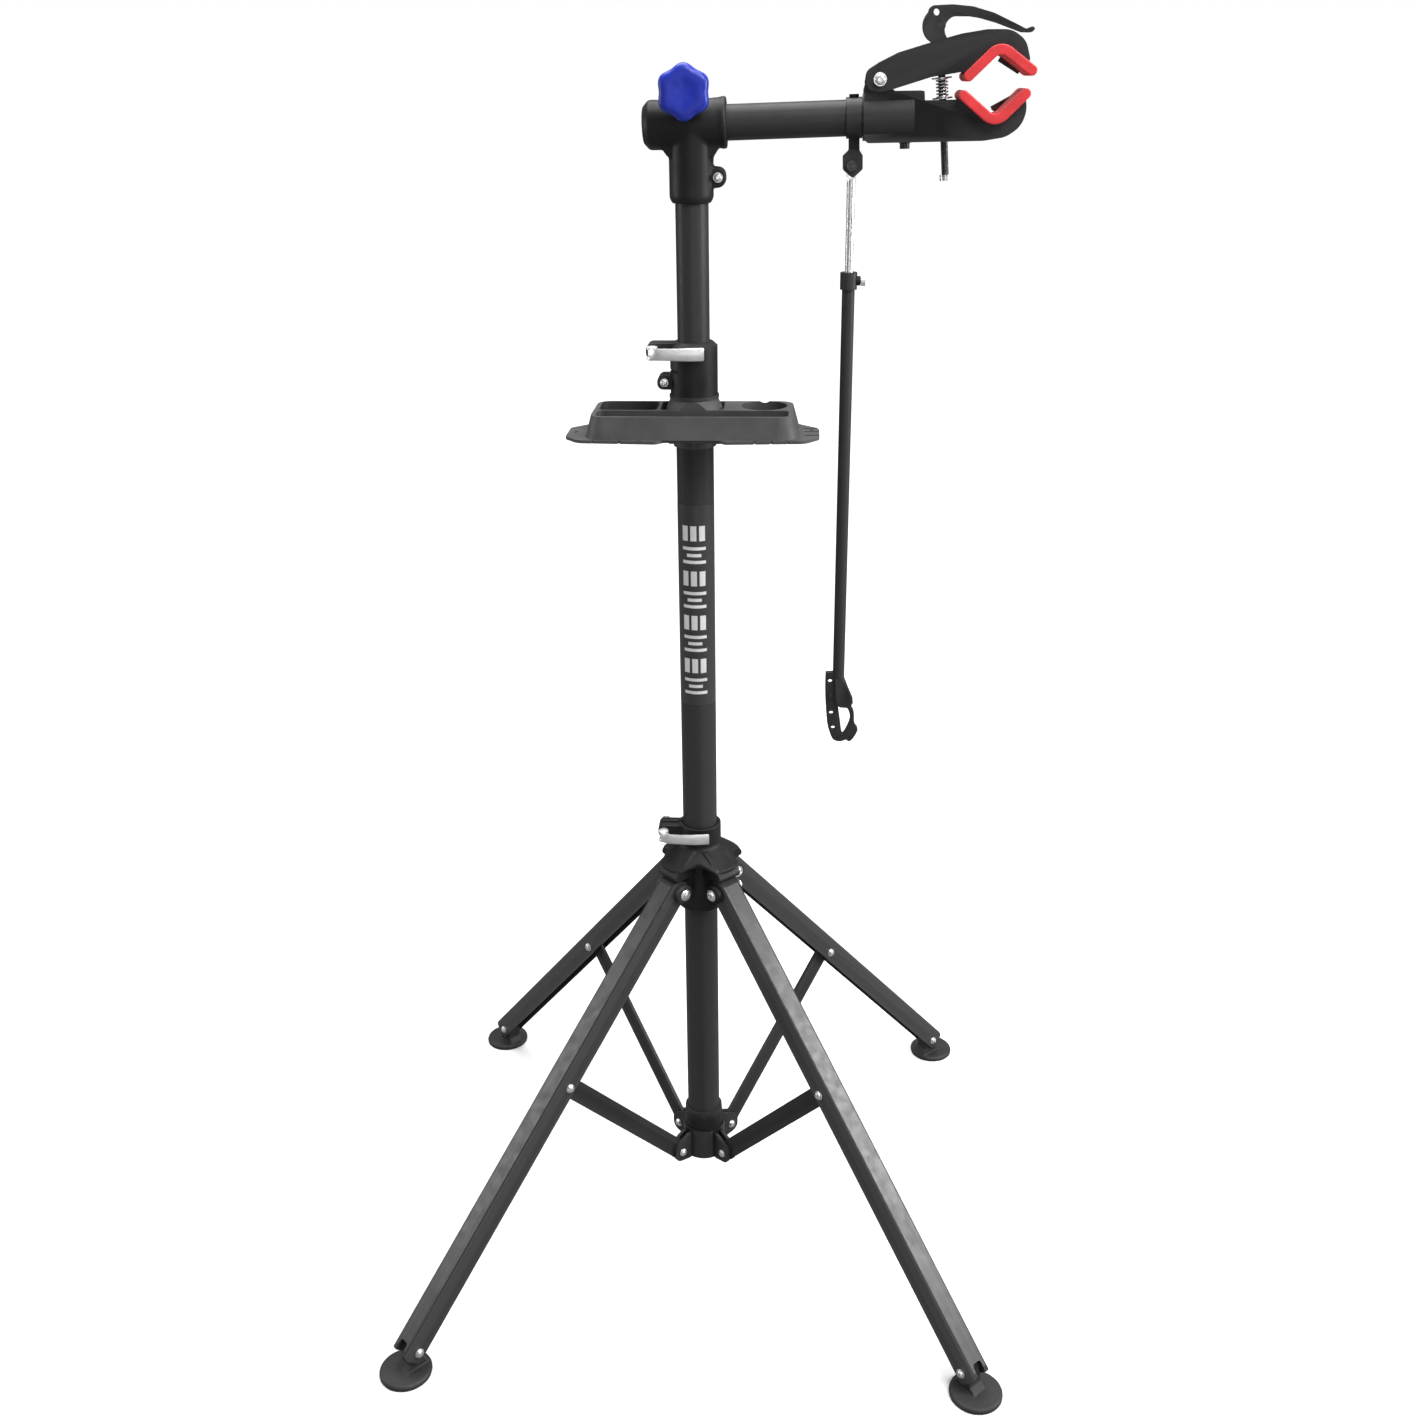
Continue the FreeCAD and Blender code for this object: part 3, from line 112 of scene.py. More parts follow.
def edge_wear(tree, colour, worn):
    """Colour that goes towards worn where the surface turns sharply outwards."""
    geometry = tree.nodes.new("ShaderNodeNewGeometry")
    sharp = ramp(tree, geometry.outputs["Pointiness"], [(WEAR_STARTS, 0.0), (WEAR_FULL, WEAR_AMOUNT)])
    mix = tree.nodes.new("ShaderNodeMix")
    mix.data_type = "RGBA"
    tree.links.new(sharp, mix.inputs["Factor"])
    tree.links.new(colour, mix.inputs["A"])
    mix.inputs["B"].default_value = (worn[0], worn[1], worn[2], 1.0)
    return mix.outputs["Result"]


def coated(name, colour, roughness, grain, depth, worn, coat=0.0, specular=0.5):
    """Painted or moulded surface: soft mottling, fine grain bump, uneven gloss, paler edges."""
    material, tree, shader = new_material(name)
    mottle = object_noise(tree, 38.0, 4.0)
    base = ramp(tree, mottle, [(0.32, shade(colour, 0.82)), (0.68, shade(colour, 1.16))])
    tree.links.new(edge_wear(tree, base, worn), shader.inputs["Base Color"])
    gloss = object_noise(tree, 90.0, 3.0)
    tree.links.new(ramp(tree, gloss, [(0.3, roughness - 0.06), (0.7, roughness + 0.07)]),
                   shader.inputs["Roughness"])
    bump(tree, shader, object_noise(tree, grain, 2.0), 0.35, depth)
    shader.inputs["Specular IOR Level"].default_value = specular
    shader.inputs["Coat Weight"].default_value = coat
    shader.inputs["Coat Roughness"].default_value = COAT_ROUGHNESS
    return material


def bright_metal(name, colour, roughness, stretch=(1, 1, 1)):
    """Plated or polished metal with fine uneven gloss and faint scratches."""
    material, tree, shader = new_material(name)
    tone = object_noise(tree, 60.0, 4.0)
    tree.links.new(ramp(tree, tone, [(0.3, shade(colour, 0.86)), (0.7, shade(colour, 1.06))]),
                   shader.inputs["Base Color"])
    streak = object_noise(tree, 420.0, 3.0, stretch)
    tree.links.new(ramp(tree, streak, [(0.3, roughness * 0.7), (0.7, roughness * 1.4)]),
                   shader.inputs["Roughness"])
    bump(tree, shader, streak, 0.12, 0.00008)
    shader.inputs["Metallic"].default_value = 1.0
    return material


def rubber(name, colour, roughness, grain, sheen):
    """Soft matt surface with uneven gloss, fine grain and a little sheen."""
    material, tree, shader = new_material(name)
    mottle = object_noise(tree, 70.0, 4.0)
    tree.links.new(ramp(tree, mottle, [(0.3, shade(colour, 0.86)), (0.7, shade(colour, 1.12))]),
                   shader.inputs["Base Color"])
    gloss = object_noise(tree, 160.0, 3.0)
    tree.links.new(ramp(tree, gloss, [(0.3, roughness - 0.08), (0.7, roughness + 0.08)]),
                   shader.inputs["Roughness"])
    bump(tree, shader, object_noise(tree, grain, 3.0), 0.4, 0.00012)
    shader.inputs["Sheen Weight"].default_value = sheen
    return material


def camera_share(tree, others, seen):
    """Value that is seen for what the camera looks at and others for light that bounces."""
    path = tree.nodes.new("ShaderNodeLightPath")
    level = tree.nodes.new("ShaderNodeMapRange")
    level.inputs["To Min"].default_value = others
    level.inputs["To Max"].default_value = seen
    tree.links.new(path.outputs["Is Camera Ray"], level.inputs["Value"])
    return level.outputs["Result"]


FLOOR_TONE = (0.22, 0.9)
GLOW_REACH = (0.6, 4.0)
GLOW_LEVEL = (0.12, 0.85)


def pale_floor():
    """Matt pale floor that glows more with distance, so that it meets the backdrop without a line."""
    material, tree, shader = new_material("floor")
    tree.links.new(camera_share(tree, *FLOOR_TONE), shader.inputs["Base Color"])
    shader.inputs["Roughness"].default_value = 0.8
    shader.inputs["Specular IOR Level"].default_value = 0.1
    coords = tree.nodes.new("ShaderNodeTexCoord")
    reach = tree.nodes.new("ShaderNodeVectorMath")
    reach.operation = "LENGTH"
    tree.links.new(coords.outputs["Object"], reach.inputs[0])
    spread = tree.nodes.new("ShaderNodeMapRange")
    spread.inputs["From Min"].default_value = GLOW_REACH[0]
    spread.inputs["From Max"].default_value = GLOW_REACH[1]
    spread.inputs["To Min"].default_value = GLOW_LEVEL[0]
    spread.inputs["To Max"].default_value = GLOW_LEVEL[1]
    tree.links.new(reach.outputs["Value"], spread.inputs["Value"])
    glow = tree.nodes.new("ShaderNodeMath")
    glow.operation = "MULTIPLY"
    tree.links.new(spread.outputs["Result"], glow.inputs[0])
    tree.links.new(camera_share(tree, 0.0, 1.0), glow.inputs[1])
    shader.inputs["Emission Color"].default_value = (1.0, 1.0, 1.0, 1.0)
    tree.links.new(glow.outputs["Value"], shader.inputs["Emission Strength"])
    return material


WORN_GREY = (0.07, 0.07, 0.072)
DEEP_BLACK = (0.0055, 0.0055, 0.0058)
COATED = {
    "black_steel": dict(colour=DEEP_BLACK, roughness=0.4, grain=2600.0, depth=0.00006, worn=WORN_GREY,
                        specular=0.18),
    "leg_steel": dict(colour=DEEP_BLACK, roughness=0.36, grain=2600.0, depth=0.00006, worn=WORN_GREY,
                      coat=0.1, specular=0.55),
    "charcoal_plastic": dict(colour=(0.060, 0.060, 0.061), roughness=0.54, grain=1700.0, depth=0.00012,
                             worn=WORN_GREY, specular=0.35),
    "black_plastic": dict(colour=DEEP_BLACK, roughness=0.46, grain=1900.0, depth=0.0001, worn=WORN_GREY,
                          specular=0.22),
    "cam_black": dict(colour=DEEP_BLACK, roughness=0.4, grain=2400.0, depth=0.00006, worn=WORN_GREY,
                      specular=0.22),
    "foot_black": dict(colour=(0.030, 0.030, 0.031), roughness=0.52, grain=1500.0, depth=0.00014,
                       worn=(0.14, 0.14, 0.14), specular=0.3),
    "moulded_black": dict(colour=(0.011, 0.011, 0.0112), roughness=0.48, grain=1500.0, depth=0.00014,
                          worn=WORN_GREY, specular=0.25),
    "knob_blue": dict(colour=(0.008, 0.022, 0.34), roughness=0.4, grain=1500.0, depth=0.00005,
                      worn=(0.03, 0.07, 0.5), coat=0.1, specular=0.4),
    "label_band": dict(colour=(0.011, 0.011, 0.0115), roughness=0.36, grain=3000.0, depth=0.00003,
                       worn=WORN_GREY, coat=0.1, specular=0.4),
    "label_print": dict(colour=(0.62, 0.62, 0.62), roughness=0.45, grain=3000.0, depth=0.00003,
                        worn=(0.7, 0.7, 0.7)),
}
METALS = {
    "bright_steel": dict(colour=(0.9, 0.9, 0.91), roughness=0.34),
    "dark_steel": dict(colour=(0.075, 0.075, 0.08), roughness=0.4),
    "silver_lever": dict(colour=(0.95, 0.95, 0.96), roughness=0.42, stretch=(1, 1, 6)),
}
RUBBERS = {
    "pad_red": dict(colour=(0.72, 0.030, 0.036), roughness=0.46, grain=1500.0, sheen=0.1),
    "strap_rubber": dict(colour=(0.014, 0.014, 0.014), roughness=0.55, grain=1500.0, sheen=0.03),
}


def make_materials():
    made = {"floor": pale_floor()}
    for maker, table in ((coated, COATED), (bright_metal, METALS), (rubber, RUBBERS)):
        for name, values in table.items():
            made[name] = maker(name, **values)
    return made


MATERIALS = make_materials()


def paint(piece, name):
    piece.data.materials.clear()
    piece.data.materials.append(MATERIALS[name])


# ---- CAD nodes --------------------------------------------------------------------
FLAT_ANGLE = math.radians(0.6)
EDGE_ANGLE = math.radians(38)
USUAL_EDGE = 0.5


def soften_cad(piece, width):
    """Rounds the edges of a CAD node with modifiers only."""
    flatten = piece.modifiers.new("merge_flats", "DECIMATE")
    flatten.decimate_type = "DISSOLVE"
    flatten.angle_limit = FLAT_ANGLE
    round_edges = piece.modifiers.new("round_edges", "BEVEL")
    round_edges.width = width
    round_edges.segments = 2
    round_edges.limit_method = "ANGLE"
    round_edges.angle_limit = EDGE_ANGLE
    round_edges.use_clamp_overlap = True
    round_edges.harden_normals = True
    for polygon in piece.data.polygons:
        polygon.use_smooth = True


RECORD = frame["record"]
SLOT_OF = {part["node"]: part["material_slot"] for part in RECORD["subparts"]}
BODY_OF = {node: body for body, nodes in RECORD["behaviour"]["bodies"].items() for node in nodes}
JOINTS = {joint["name"]: joint for joint in RECORD["behaviour"]["joints"]}
FINISH = {"foot_" + place: "foot_black" for place in LEG_ANGLES}
FINISH.update({"height_collar": "moulded_black", "head_fitting": "moulded_black", "leg_hub": "moulded_black",
               "lower_hub": "moulded_black"})
EDGE_WIDTH = {"tool_tray": 0.9, "height_collar": 0.8, "clamp_socket": 0.8, "lower_hub": 0.9}


def dress_cad():
    for name, piece in NODES.items():
        usual = "leg_steel" if name.startswith("leg_") else SLOT_OF[name]
        paint(piece, FINISH.get(name, usual))
        soften_cad(piece, EDGE_WIDTH.get(name, USUAL_EDGE) * MM)


dress_cad()


# ---- shared shape helpers ----------------------------------------------------------
def finish_piece(name, form, body, slot_name, material=None, stands_for=(), sharp=35):
    """Turns a bmesh into a piece that rides on a body, painted with material or else with the material named
    by slot_name.
    """
    bmesh.ops.recalc_face_normals(form, faces=form.faces)
    mesh = bpy.data.meshes.new(name)
    form.to_mesh(mesh)
    form.free()
    for polygon in mesh.polygons:
        polygon.use_smooth = True
    mesh.set_sharp_from_angle(angle=math.radians(sharp))
    piece = bpy.data.objects.new(name, mesh)
    bpy.context.scene.collection.objects.link(piece)
    paint(piece, material or slot_name)
    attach(piece, body)
    if stands_for:
        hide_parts(*stands_for)


def ring_point(radius, angle, height):
    return Vector((radius * math.cos(angle), radius * math.sin(angle), height))


def skin(form, rings):
    """Closed skin round a row of rings that hold equally many corners, with both ends capped."""
    for first, second in zip(rings, rings[1:]):
        for corner in range(len(first)):
            after = (corner + 1) % len(first)
            form.faces.new((first[corner], first[after], second[after], second[corner]))
    form.faces.new(rings[0])
    form.faces.new(rings[-1][::-1])


def axis_frame(centre, axis):
    """Matrix whose Z runs along axis and whose origin is centre."""
    return Matrix.Translation(centre) @ Vector(axis).to_track_quat("Z", "Y").to_matrix().to_4x4()


ROUND_SIDES = 40


def lathe(form, profile, place, sides=ROUND_SIDES, shape=None):
    """Closed solid turned about Z of place through (radius, height) points; shape(angle) scales a ring."""
    rings = []
    for radius, height in profile:
        if radius == 0:
            rings.append([form.verts.new(place @ Vector((0, 0, height)))])
            continue
        ring = []
        for step in range(sides):
            angle = 2 * math.pi * step / sides
            reach = radius * (shape(angle) if shape else 1.0)
            ring.append(form.verts.new(place @ ring_point(reach, angle, height)))
        rings.append(ring)
    for low, high in zip(rings, rings[1:]):
        for step in range(sides):
            after = (step + 1) % sides
            corners = [low[step % len(low)], low[after % len(low)]]
            corners += [high[after % len(high)], high[step % len(high)]]
            corners = [corner for index, corner in enumerate(corners) if corner not in corners[:index]]
            if len(corners) > 2:
                form.faces.new(corners)


def ring_solid(form, inner, outer, thick, place):
    """Washer with softened outer edges."""
    soft = 0.15 * thick
    rings = []
    for radius, height in ((inner, 0), (outer - soft, 0), (outer, soft), (outer, thick - soft),
                           (outer - soft, thick), (inner, thick)):
        ring = []
        for step in range(ROUND_SIDES):
            angle = 2 * math.pi * step / ROUND_SIDES
            ring.append(form.verts.new(place @ ring_point(radius, angle, height)))
        rings.append(ring)
    for low_ring, high_ring in zip(rings, rings[1:] + rings[:1]):
        for step in range(ROUND_SIDES):
            after = (step + 1) % ROUND_SIDES
            form.faces.new((low_ring[step], low_ring[after], high_ring[after], high_ring[step]))


# ---- bolts --------------------------------------------------------------------------
BOLT_REACH = 14 * MM
BOLT_HALF_LENGTH = 40 * MM
RIM_SHARE = 0.85
WASHER_SHARE = 0.26
SHANK_SHARE = 0.42
HEAD_SHARE = 0.8
NUT_SHARE = 0.84
NUT_SIDES = 6


def bolt_span(node, centre, axis):
    """Ends of a CAD bolt along its axis, the inner faces of its heads and the head radius."""
    line = Vector(axis).normalized()
    along = []
    for vertex in NODES[node].data.vertices:
        offset = vertex.co - centre
        run = offset.dot(line)
        away = (offset - run * line).length
        if away < BOLT_REACH and abs(run) < BOLT_HALF_LENGTH:
            along.append((run, away))
    radius = max(away for run, away in along)
    heads = [run for run, away in along if away > RIM_SHARE * radius]
    inner_low = max(run for run in heads if run < 0)
    inner_high = min(run for run in heads if run > 0)
    return min(heads), inner_low, inner_high, max(heads), radius


def add_bolt(form, node, centre, axis, longer=0.0, wider=1.0):
    """Button head with a socket on one side, washers, shank, and a hexagon nut on the other side."""
    low, inner_low, inner_high, high, radius = bolt_span(node, centre, axis)
    low -= longer
    inner_low -= longer
    inner_high += longer
    high += longer
    radius *= wider
    place = axis_frame(centre, axis)
    cap = high - inner_high
    washer = WASHER_SHARE * cap
    seat = inner_high + washer
    lathe(form, [(0, inner_high), (radius * 0.97, inner_high), (radius, inner_high + 0.3 * washer),
                 (radius, seat - 0.3 * washer), (radius * 0.96, seat), (0, seat)], place)
    dome = high - seat
    head = HEAD_SHARE * radius
    lathe(form, [(0, seat), (head, seat), (head, seat + 0.35 * dome), (0.93 * head, seat + 0.62 * dome),
                 (0.76 * head, seat + 0.86 * dome), (0.58 * head, high), (0.40 * head, high),
                 (0.37 * head, seat + 0.3 * dome), (0, seat + 0.3 * dome)], place)
    shank = SHANK_SHARE * radius
    lathe(form, [(0, inner_low), (shank, inner_low), (shank, inner_high), (0, inner_high)], place)
    foot = inner_low - low
    rest = inner_low - WASHER_SHARE * foot
    lathe(form, [(0, inner_low), (radius * 0.97, inner_low), (radius, inner_low - 0.08 * foot),
                 (radius, rest + 0.08 * foot), (radius * 0.96, rest), (0, rest)], place)
    nut = NUT_SHARE * radius
    lathe(form, [(0, rest), (nut * 0.95, rest), (nut, rest - 0.1 * foot), (nut, low + 0.28 * foot),
                 (nut * 0.88, low + 0.16 * foot), (0, low + 0.16 * foot)], place, NUT_SIDES)
    lathe(form, [(0, rest), (shank, rest), (shank, low + 0.06 * foot), (0.34 * radius, low), (0, low)],
          place, 24)


def bolt_piece(node, spots, longer=0.0, wider=1.0):
    form = bmesh.new()
    for centre, axis in spots:
        add_bolt(form, node, centre, axis, longer, wider)
    finish_piece(node + "_look", form, BODY_OF[node], SLOT_OF[node], stands_for=(node,))


HUB_BOSS = 6.5 * MM
BOSS_RADIUS = 11 * MM
BOSS_TOP_RADIUS = 9.5 * MM
HUB_BOLT_WIDER = 1.35


def leg_spot(joint, place):
    """The same pivot on another leg: place and axis turned about the mast."""
    turn = Matrix.Rotation(math.radians(LEG_ANGLES[place] - LEG_ANGLES["front_right"]), 3, "Z")
    return turn @ Vector(JOINTS[joint]["pos_m"]), turn @ Vector(JOINTS[joint]["axis"])


def make_bolts():
    """All bolts with visible heads, and the bosses under the bolts of the leg hub."""
    hub_spots = [leg_spot("hub_front_right_hinge", place) for place in LEG_ANGLES]
    bolt_piece("leg_pivot_bolts", hub_spots, HUB_BOSS, HUB_BOLT_WIDER)
    bosses = bmesh.new()
    for centre, axis in hub_spots:
        inner_low, inner_high = bolt_span("leg_pivot_bolts", centre, axis)[1:3]
        for end in (inner_high, -inner_low):
            turn = axis if end == inner_high else -axis
            top = end + HUB_BOSS
            lathe(bosses, [(0, end), (BOSS_RADIUS, end), (BOSS_RADIUS, end + 0.7 * HUB_BOSS),
                           (BOSS_TOP_RADIUS, top), (0, top)], axis_frame(centre, turn))
    finish_piece("hub_bosses", bosses, "leg_hub", "charcoal_plastic", "moulded_black")
    bolt_piece("lower_hub_bolts", [leg_spot("strut_front_right_fold", place) for place in LEG_ANGLES])
    for place in LEG_ANGLES:
        spots = [leg_spot("leg_front_right_joint", place), leg_spot("foot_front_right_swivel", place)]
        bolt_piece("leg_bolts_" + place, spots)
    for node in ("head_pinch_bolt", "collar_bolt", "jaw_pivot_bolt"):
        low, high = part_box(node)
        bolt_piece(node, [((low + high) / 2, (0, -1, 0))])


make_bolts()


# ---- knob ---------------------------------------------------------------------------
LOBES = 6
LOBE_DEPTH = 0.055


def make_knob():
    """Hand knob with six shallow rounded lobes, one of them straight up, and a dished middle."""
    low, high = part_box("clamp_knob")
    middle = JOINTS["knob_turn"]["pos_m"]
    reach = high.z - middle[2]
    depth = high.y - low.y
    place = axis_frame((middle[0], high.y, middle[2]), (0, -1, 0))
    up = Vector((0, 0, 1)) @ place.to_3x3()
    start = math.atan2(up.y, up.x)

    def scallop(angle):
        return 1 - LOBE_DEPTH + LOBE_DEPTH * math.cos(LOBES * (angle - start))

    form = bmesh.new()
    wheel = 0.44 * depth
    lathe(form, [(0, wheel), (0.62 * reach, wheel), (0.86 * reach, wheel + 0.03 * depth),
                 (0.96 * reach, 0.54 * depth), (reach, 0.62 * depth), (reach, 0.84 * depth),
                 (0.975 * reach, 0.91 * depth),
                 (0.92 * reach, 0.96 * depth), (0.84 * reach, 0.99 * depth), (0.72 * reach, depth),
                 (0.56 * reach, 0.995 * depth), (0.44 * reach, 0.98 * depth), (0.32 * reach, 0.965 * depth),
                 (0.18 * reach, 0.955 * depth), (0, 0.95 * depth)], place, 144, scallop)
    stem_top = wheel + 0.02 * depth
    lathe(form, [(0, 0), (0.40 * reach, 0), (0.42 * reach, 0.02 * depth), (0.46 * reach, stem_top),
                 (0, stem_top)], place, 48)
    finish_piece("knob_look", form, "clamp_knob", "knob_blue", stands_for=("clamp_knob",), sharp=50)


make_knob()


# ---- quick-release levers -----------------------------------------------------------
def curve_span(before, start, end, after, count):
    """Points of a Catmull-Rom curve from start up to, but without, end."""
    p0, p1, p2, p3 = Vector(before), Vector(start), Vector(end), Vector(after)
    span = []
    for step in range(count):
        t = step / count
        span.append(0.5 * ((2 * p1) + (p2 - p0) * t + (2 * p0 - 5 * p1 + 4 * p2 - p3) * t * t
                           + (3 * p1 - p0 - 3 * p2 + p3) * t ** 3))
    return span


def curve_points(points, count):
    """Smooth open path through given points."""
    padded = [points[0]] + list(points) + [points[-1]]
    path = []
    for index in range(len(padded) - 3):
        path += curve_span(*padded[index:index + 4], count)
    path.append(Vector(points[-1]))
    return path


LEVER_THICK = 1.15 * MM
CHEEK_THICK = 3.0 * MM
CHEEK_RADIUS = 5.5 * MM
CHEEK_RIM = 4.9 * MM
CHEEK_SOFT = 0.5 * MM
TIP_STARTS = 0.97


def make_lever(node, joint):
    """Curved flat lever: two cheeks round the pivot and a band that narrows to a rounded tip."""
    low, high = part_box(node)
    pivot = Vector(JOINTS[joint]["pos_m"])
    half = (high.z - low.z) / 2
    middle = (high.z + low.z) / 2
    front = low.y + LEVER_THICK
    path = curve_points([(pivot.x - 2.2 * MM, pivot.y - 3.2 * MM),
                         (pivot.x + 4.5 * MM, front + 1.9 * MM),
                         (pivot.x + 15 * MM, front + 0.3 * MM), (pivot.x + 33 * MM, front),
                         (high.x - 0.3 * MM, front + 2.2 * MM)], 12)
    form = bmesh.new()
    rings = []
    total = len(path) - 1
    for index, point in enumerate(path):
        before = path[max(index - 1, 0)]
        after = path[min(index + 1, total)]
        run = (after - before).normalized()
        across = Vector((run.y, -run.x))
        share = index / total
        width = half * (0.98 - 0.10 * math.sin(math.pi * min(share * 1.25, 1.0)))
        if share > TIP_STARTS:
            width *= 1 - 3.5 * (share - TIP_STARTS)
        ring = []
        for side, rise in ((1, -0.82), (1, 0.82), (0.35, 1.0), (-0.35, 1.0), (-1, 0.82), (-1, -0.82),
                           (-0.35, -1.0), (0.35, -1.0)):
            spot = point + across * LEVER_THICK * side
            ring.append(form.verts.new((spot.x, spot.y, middle + width * rise)))
        rings.append(ring)
    skin(form, rings)
    for base in (low.z, high.z - CHEEK_THICK):
        place = Matrix.Translation((pivot.x, pivot.y, base))
        lathe(form, [(0, 0), (CHEEK_RIM, 0), (CHEEK_RADIUS, CHEEK_SOFT),
                     (CHEEK_RADIUS, CHEEK_THICK - CHEEK_SOFT), (CHEEK_RIM, CHEEK_THICK),
                     (0, CHEEK_THICK)], place)
    finish_piece(node + "_look", form, BODY_OF[node], SLOT_OF[node], stands_for=(node,), sharp=50)


make_lever("height_lever", "height_lever_hinge")
make_lever("hub_lever", "hub_lever_hinge")


# ---- rounded castings and rubber ----------------------------------------------------
KEPT_SHARE = 0.35


def rounded_copy(node, voxel, passes):
    """Remeshed and relaxed copy of a CAD node, so that its corners flow like a moulding."""
    source = bpy.data.objects.new(node + "_look", NODES[node].data.copy())
    bpy.context.scene.collection.objects.link(source)
    remesh = source.modifiers.new("remesh", "REMESH")
    remesh.mode = "VOXEL"
    remesh.voxel_size = voxel
    relax = source.modifiers.new("relax", "SMOOTH")
    relax.factor = 0.5
    relax.iterations = passes
    thin = source.modifiers.new("thin", "DECIMATE")
    thin.ratio = KEPT_SHARE
    shape = source.evaluated_get(bpy.context.evaluated_depsgraph_get())
    mesh = bpy.data.meshes.new_from_object(shape)
    source.modifiers.clear()
    source.data = mesh
    for polygon in mesh.polygons:
        polygon.use_smooth = True
    paint(source, FINISH.get(node, SLOT_OF[node]))
    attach(source, BODY_OF[node])
    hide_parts(node)


rounded_copy("head_fitting", 1.0 * MM, 24)
rounded_copy("leg_hub", 0.8 * MM, 7)
for soft in ("lower_jaw_pads", "upper_jaw_pads"):
    rounded_copy(soft, 0.7 * MM, 6)
for place_name in LEG_ANGLES:
    rounded_copy("foot_" + place_name, 0.8 * MM, 3)


# ---- painted shade strips behind the pads ----------------------------------------------
PAINTED_SHADE_THICK = 3.6 * MM
PAINTED_SHADE_ENDS = (0.0, 1.0)


def make_painted_pad_shade(name, node, body, up):
    """Black strip that shows behind the right half of a V-shaped pad, on the side the jaw opens to: painted
    shade where the rear of the V lies in shadow.
    """
    low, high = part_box(node)
    middle = (low.x + high.x) / 2 + (3.0 * MM if up else 2.5 * MM)
    apex = high.z - 12.0 * MM if up else low.z + 12.5 * MM
    end_x = high.x - 11 * MM
    end_z = low.z + 8.0 * MM if up else high.z - 8.0 * MM
    back = high.y - 1.5 * MM
    front = high.y - 9 * MM
    run = Vector((end_x - middle, 0, end_z - apex)).normalized()
    across = Vector((run.z, 0, -run.x)) * (PAINTED_SHADE_THICK if up else -PAINTED_SHADE_THICK)
    form = bmesh.new()
    rings = []
    for share in (0.0, 0.06, 0.5, 0.94, 1.0):
        spot = Vector((middle, 0, apex)).lerp(Vector((end_x, 0, end_z)), share)
        scale = 0.6 if share in PAINTED_SHADE_ENDS else 1.0
        ring = []
        for side, depth in ((-0.6, front), (0.6 * scale, front), (0.8 * scale, front + 1 * MM),
                            (0.8 * scale, back - 1 * MM), (0.6 * scale, back), (-0.6, back)):
            corner = spot - across * side
            ring.append(form.verts.new((corner.x, depth, corner.z)))
        rings.append(ring)
    skin(form, rings)
    finish_piece(name, form, body, "black_plastic")


# Painted shade: black strips at the rear of the pads, only where the V is seen in shadow.
make_painted_pad_shade("upper_pad_painted_shade", "upper_jaw_pads", "upper_jaw", True)
make_painted_pad_shade("lower_pad_painted_shade", "lower_jaw_pads", "arm", False)


# ---- clamp rod, spring seats --------------------------------------------------------
THREAD_PITCH = 1.3 * MM
THREAD_CORE = 3.1 * MM
THREAD_CREST = 3.42 * MM
THREAD_TOP = -38 * MM


def make_rod_thread():
    """Ridges along the lower part of the clamp rod, up to THREAD_TOP below the cam pin."""
    axis = Vector(JOINTS["clamp_slide"]["axis"]).normalized()
    pin = Vector(JOINTS["cam_lever_pivot"]["pos_m"])
    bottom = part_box("clamp_rod")[0].z
    lowest = (bottom - pin.z) / axis.z + 1.0 * MM
    count = int((THREAD_TOP - lowest) / THREAD_PITCH)
    profile = [(0, lowest)]
    for turn in range(count):
        foot = lowest + turn * THREAD_PITCH
        profile += [(THREAD_CORE, foot), (THREAD_CREST, foot + 0.35 * THREAD_PITCH),
                    (THREAD_CREST, foot + 0.6 * THREAD_PITCH)]
    top = lowest + count * THREAD_PITCH
    profile += [(THREAD_CORE, top), (0, top)]
    form = bmesh.new()
    lathe(form, profile, axis_frame(pin, axis), 28)
    finish_piece("rod_thread", form, "clamp_rod", "dark_steel", sharp=25)


SEAT_HOLE = 3.75 * MM
SEAT_RADIUS = 9.2 * MM
SEAT_THICK = 1.3 * MM
CAP_DROP = 1.2 * MM


def make_spring_seats():
    """Bright washers under and over the jaw spring."""
    axis = Vector(JOINTS["clamp_slide"]["axis"]).normalized()
    low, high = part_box("jaw_spring")
    pin = Vector(JOINTS["cam_lever_pivot"]["pos_m"])
    for name, level, body in (("spring_seat", low.z, "arm"), ("spring_cap", high.z - CAP_DROP, "upper_jaw")):
        centre = pin + axis * ((level - pin.z) / axis.z)
        form = bmesh.new()
        ring_solid(form, SEAT_HOLE, SEAT_RADIUS, SEAT_THICK, axis_frame(centre, axis))
        finish_piece(name, form, body, "bright_steel")


make_rod_thread()
make_spring_seats()


# ---- handlebar strap -------------------------------------------------------------------
def closed_curve(points, count):
    """Smooth closed outline through given points."""
    total = len(points)
    path = []
    for index in range(total):
        path += curve_span(*(points[(index + shift) % total] for shift in (-1, 0, 1, 2)), count)
    return path


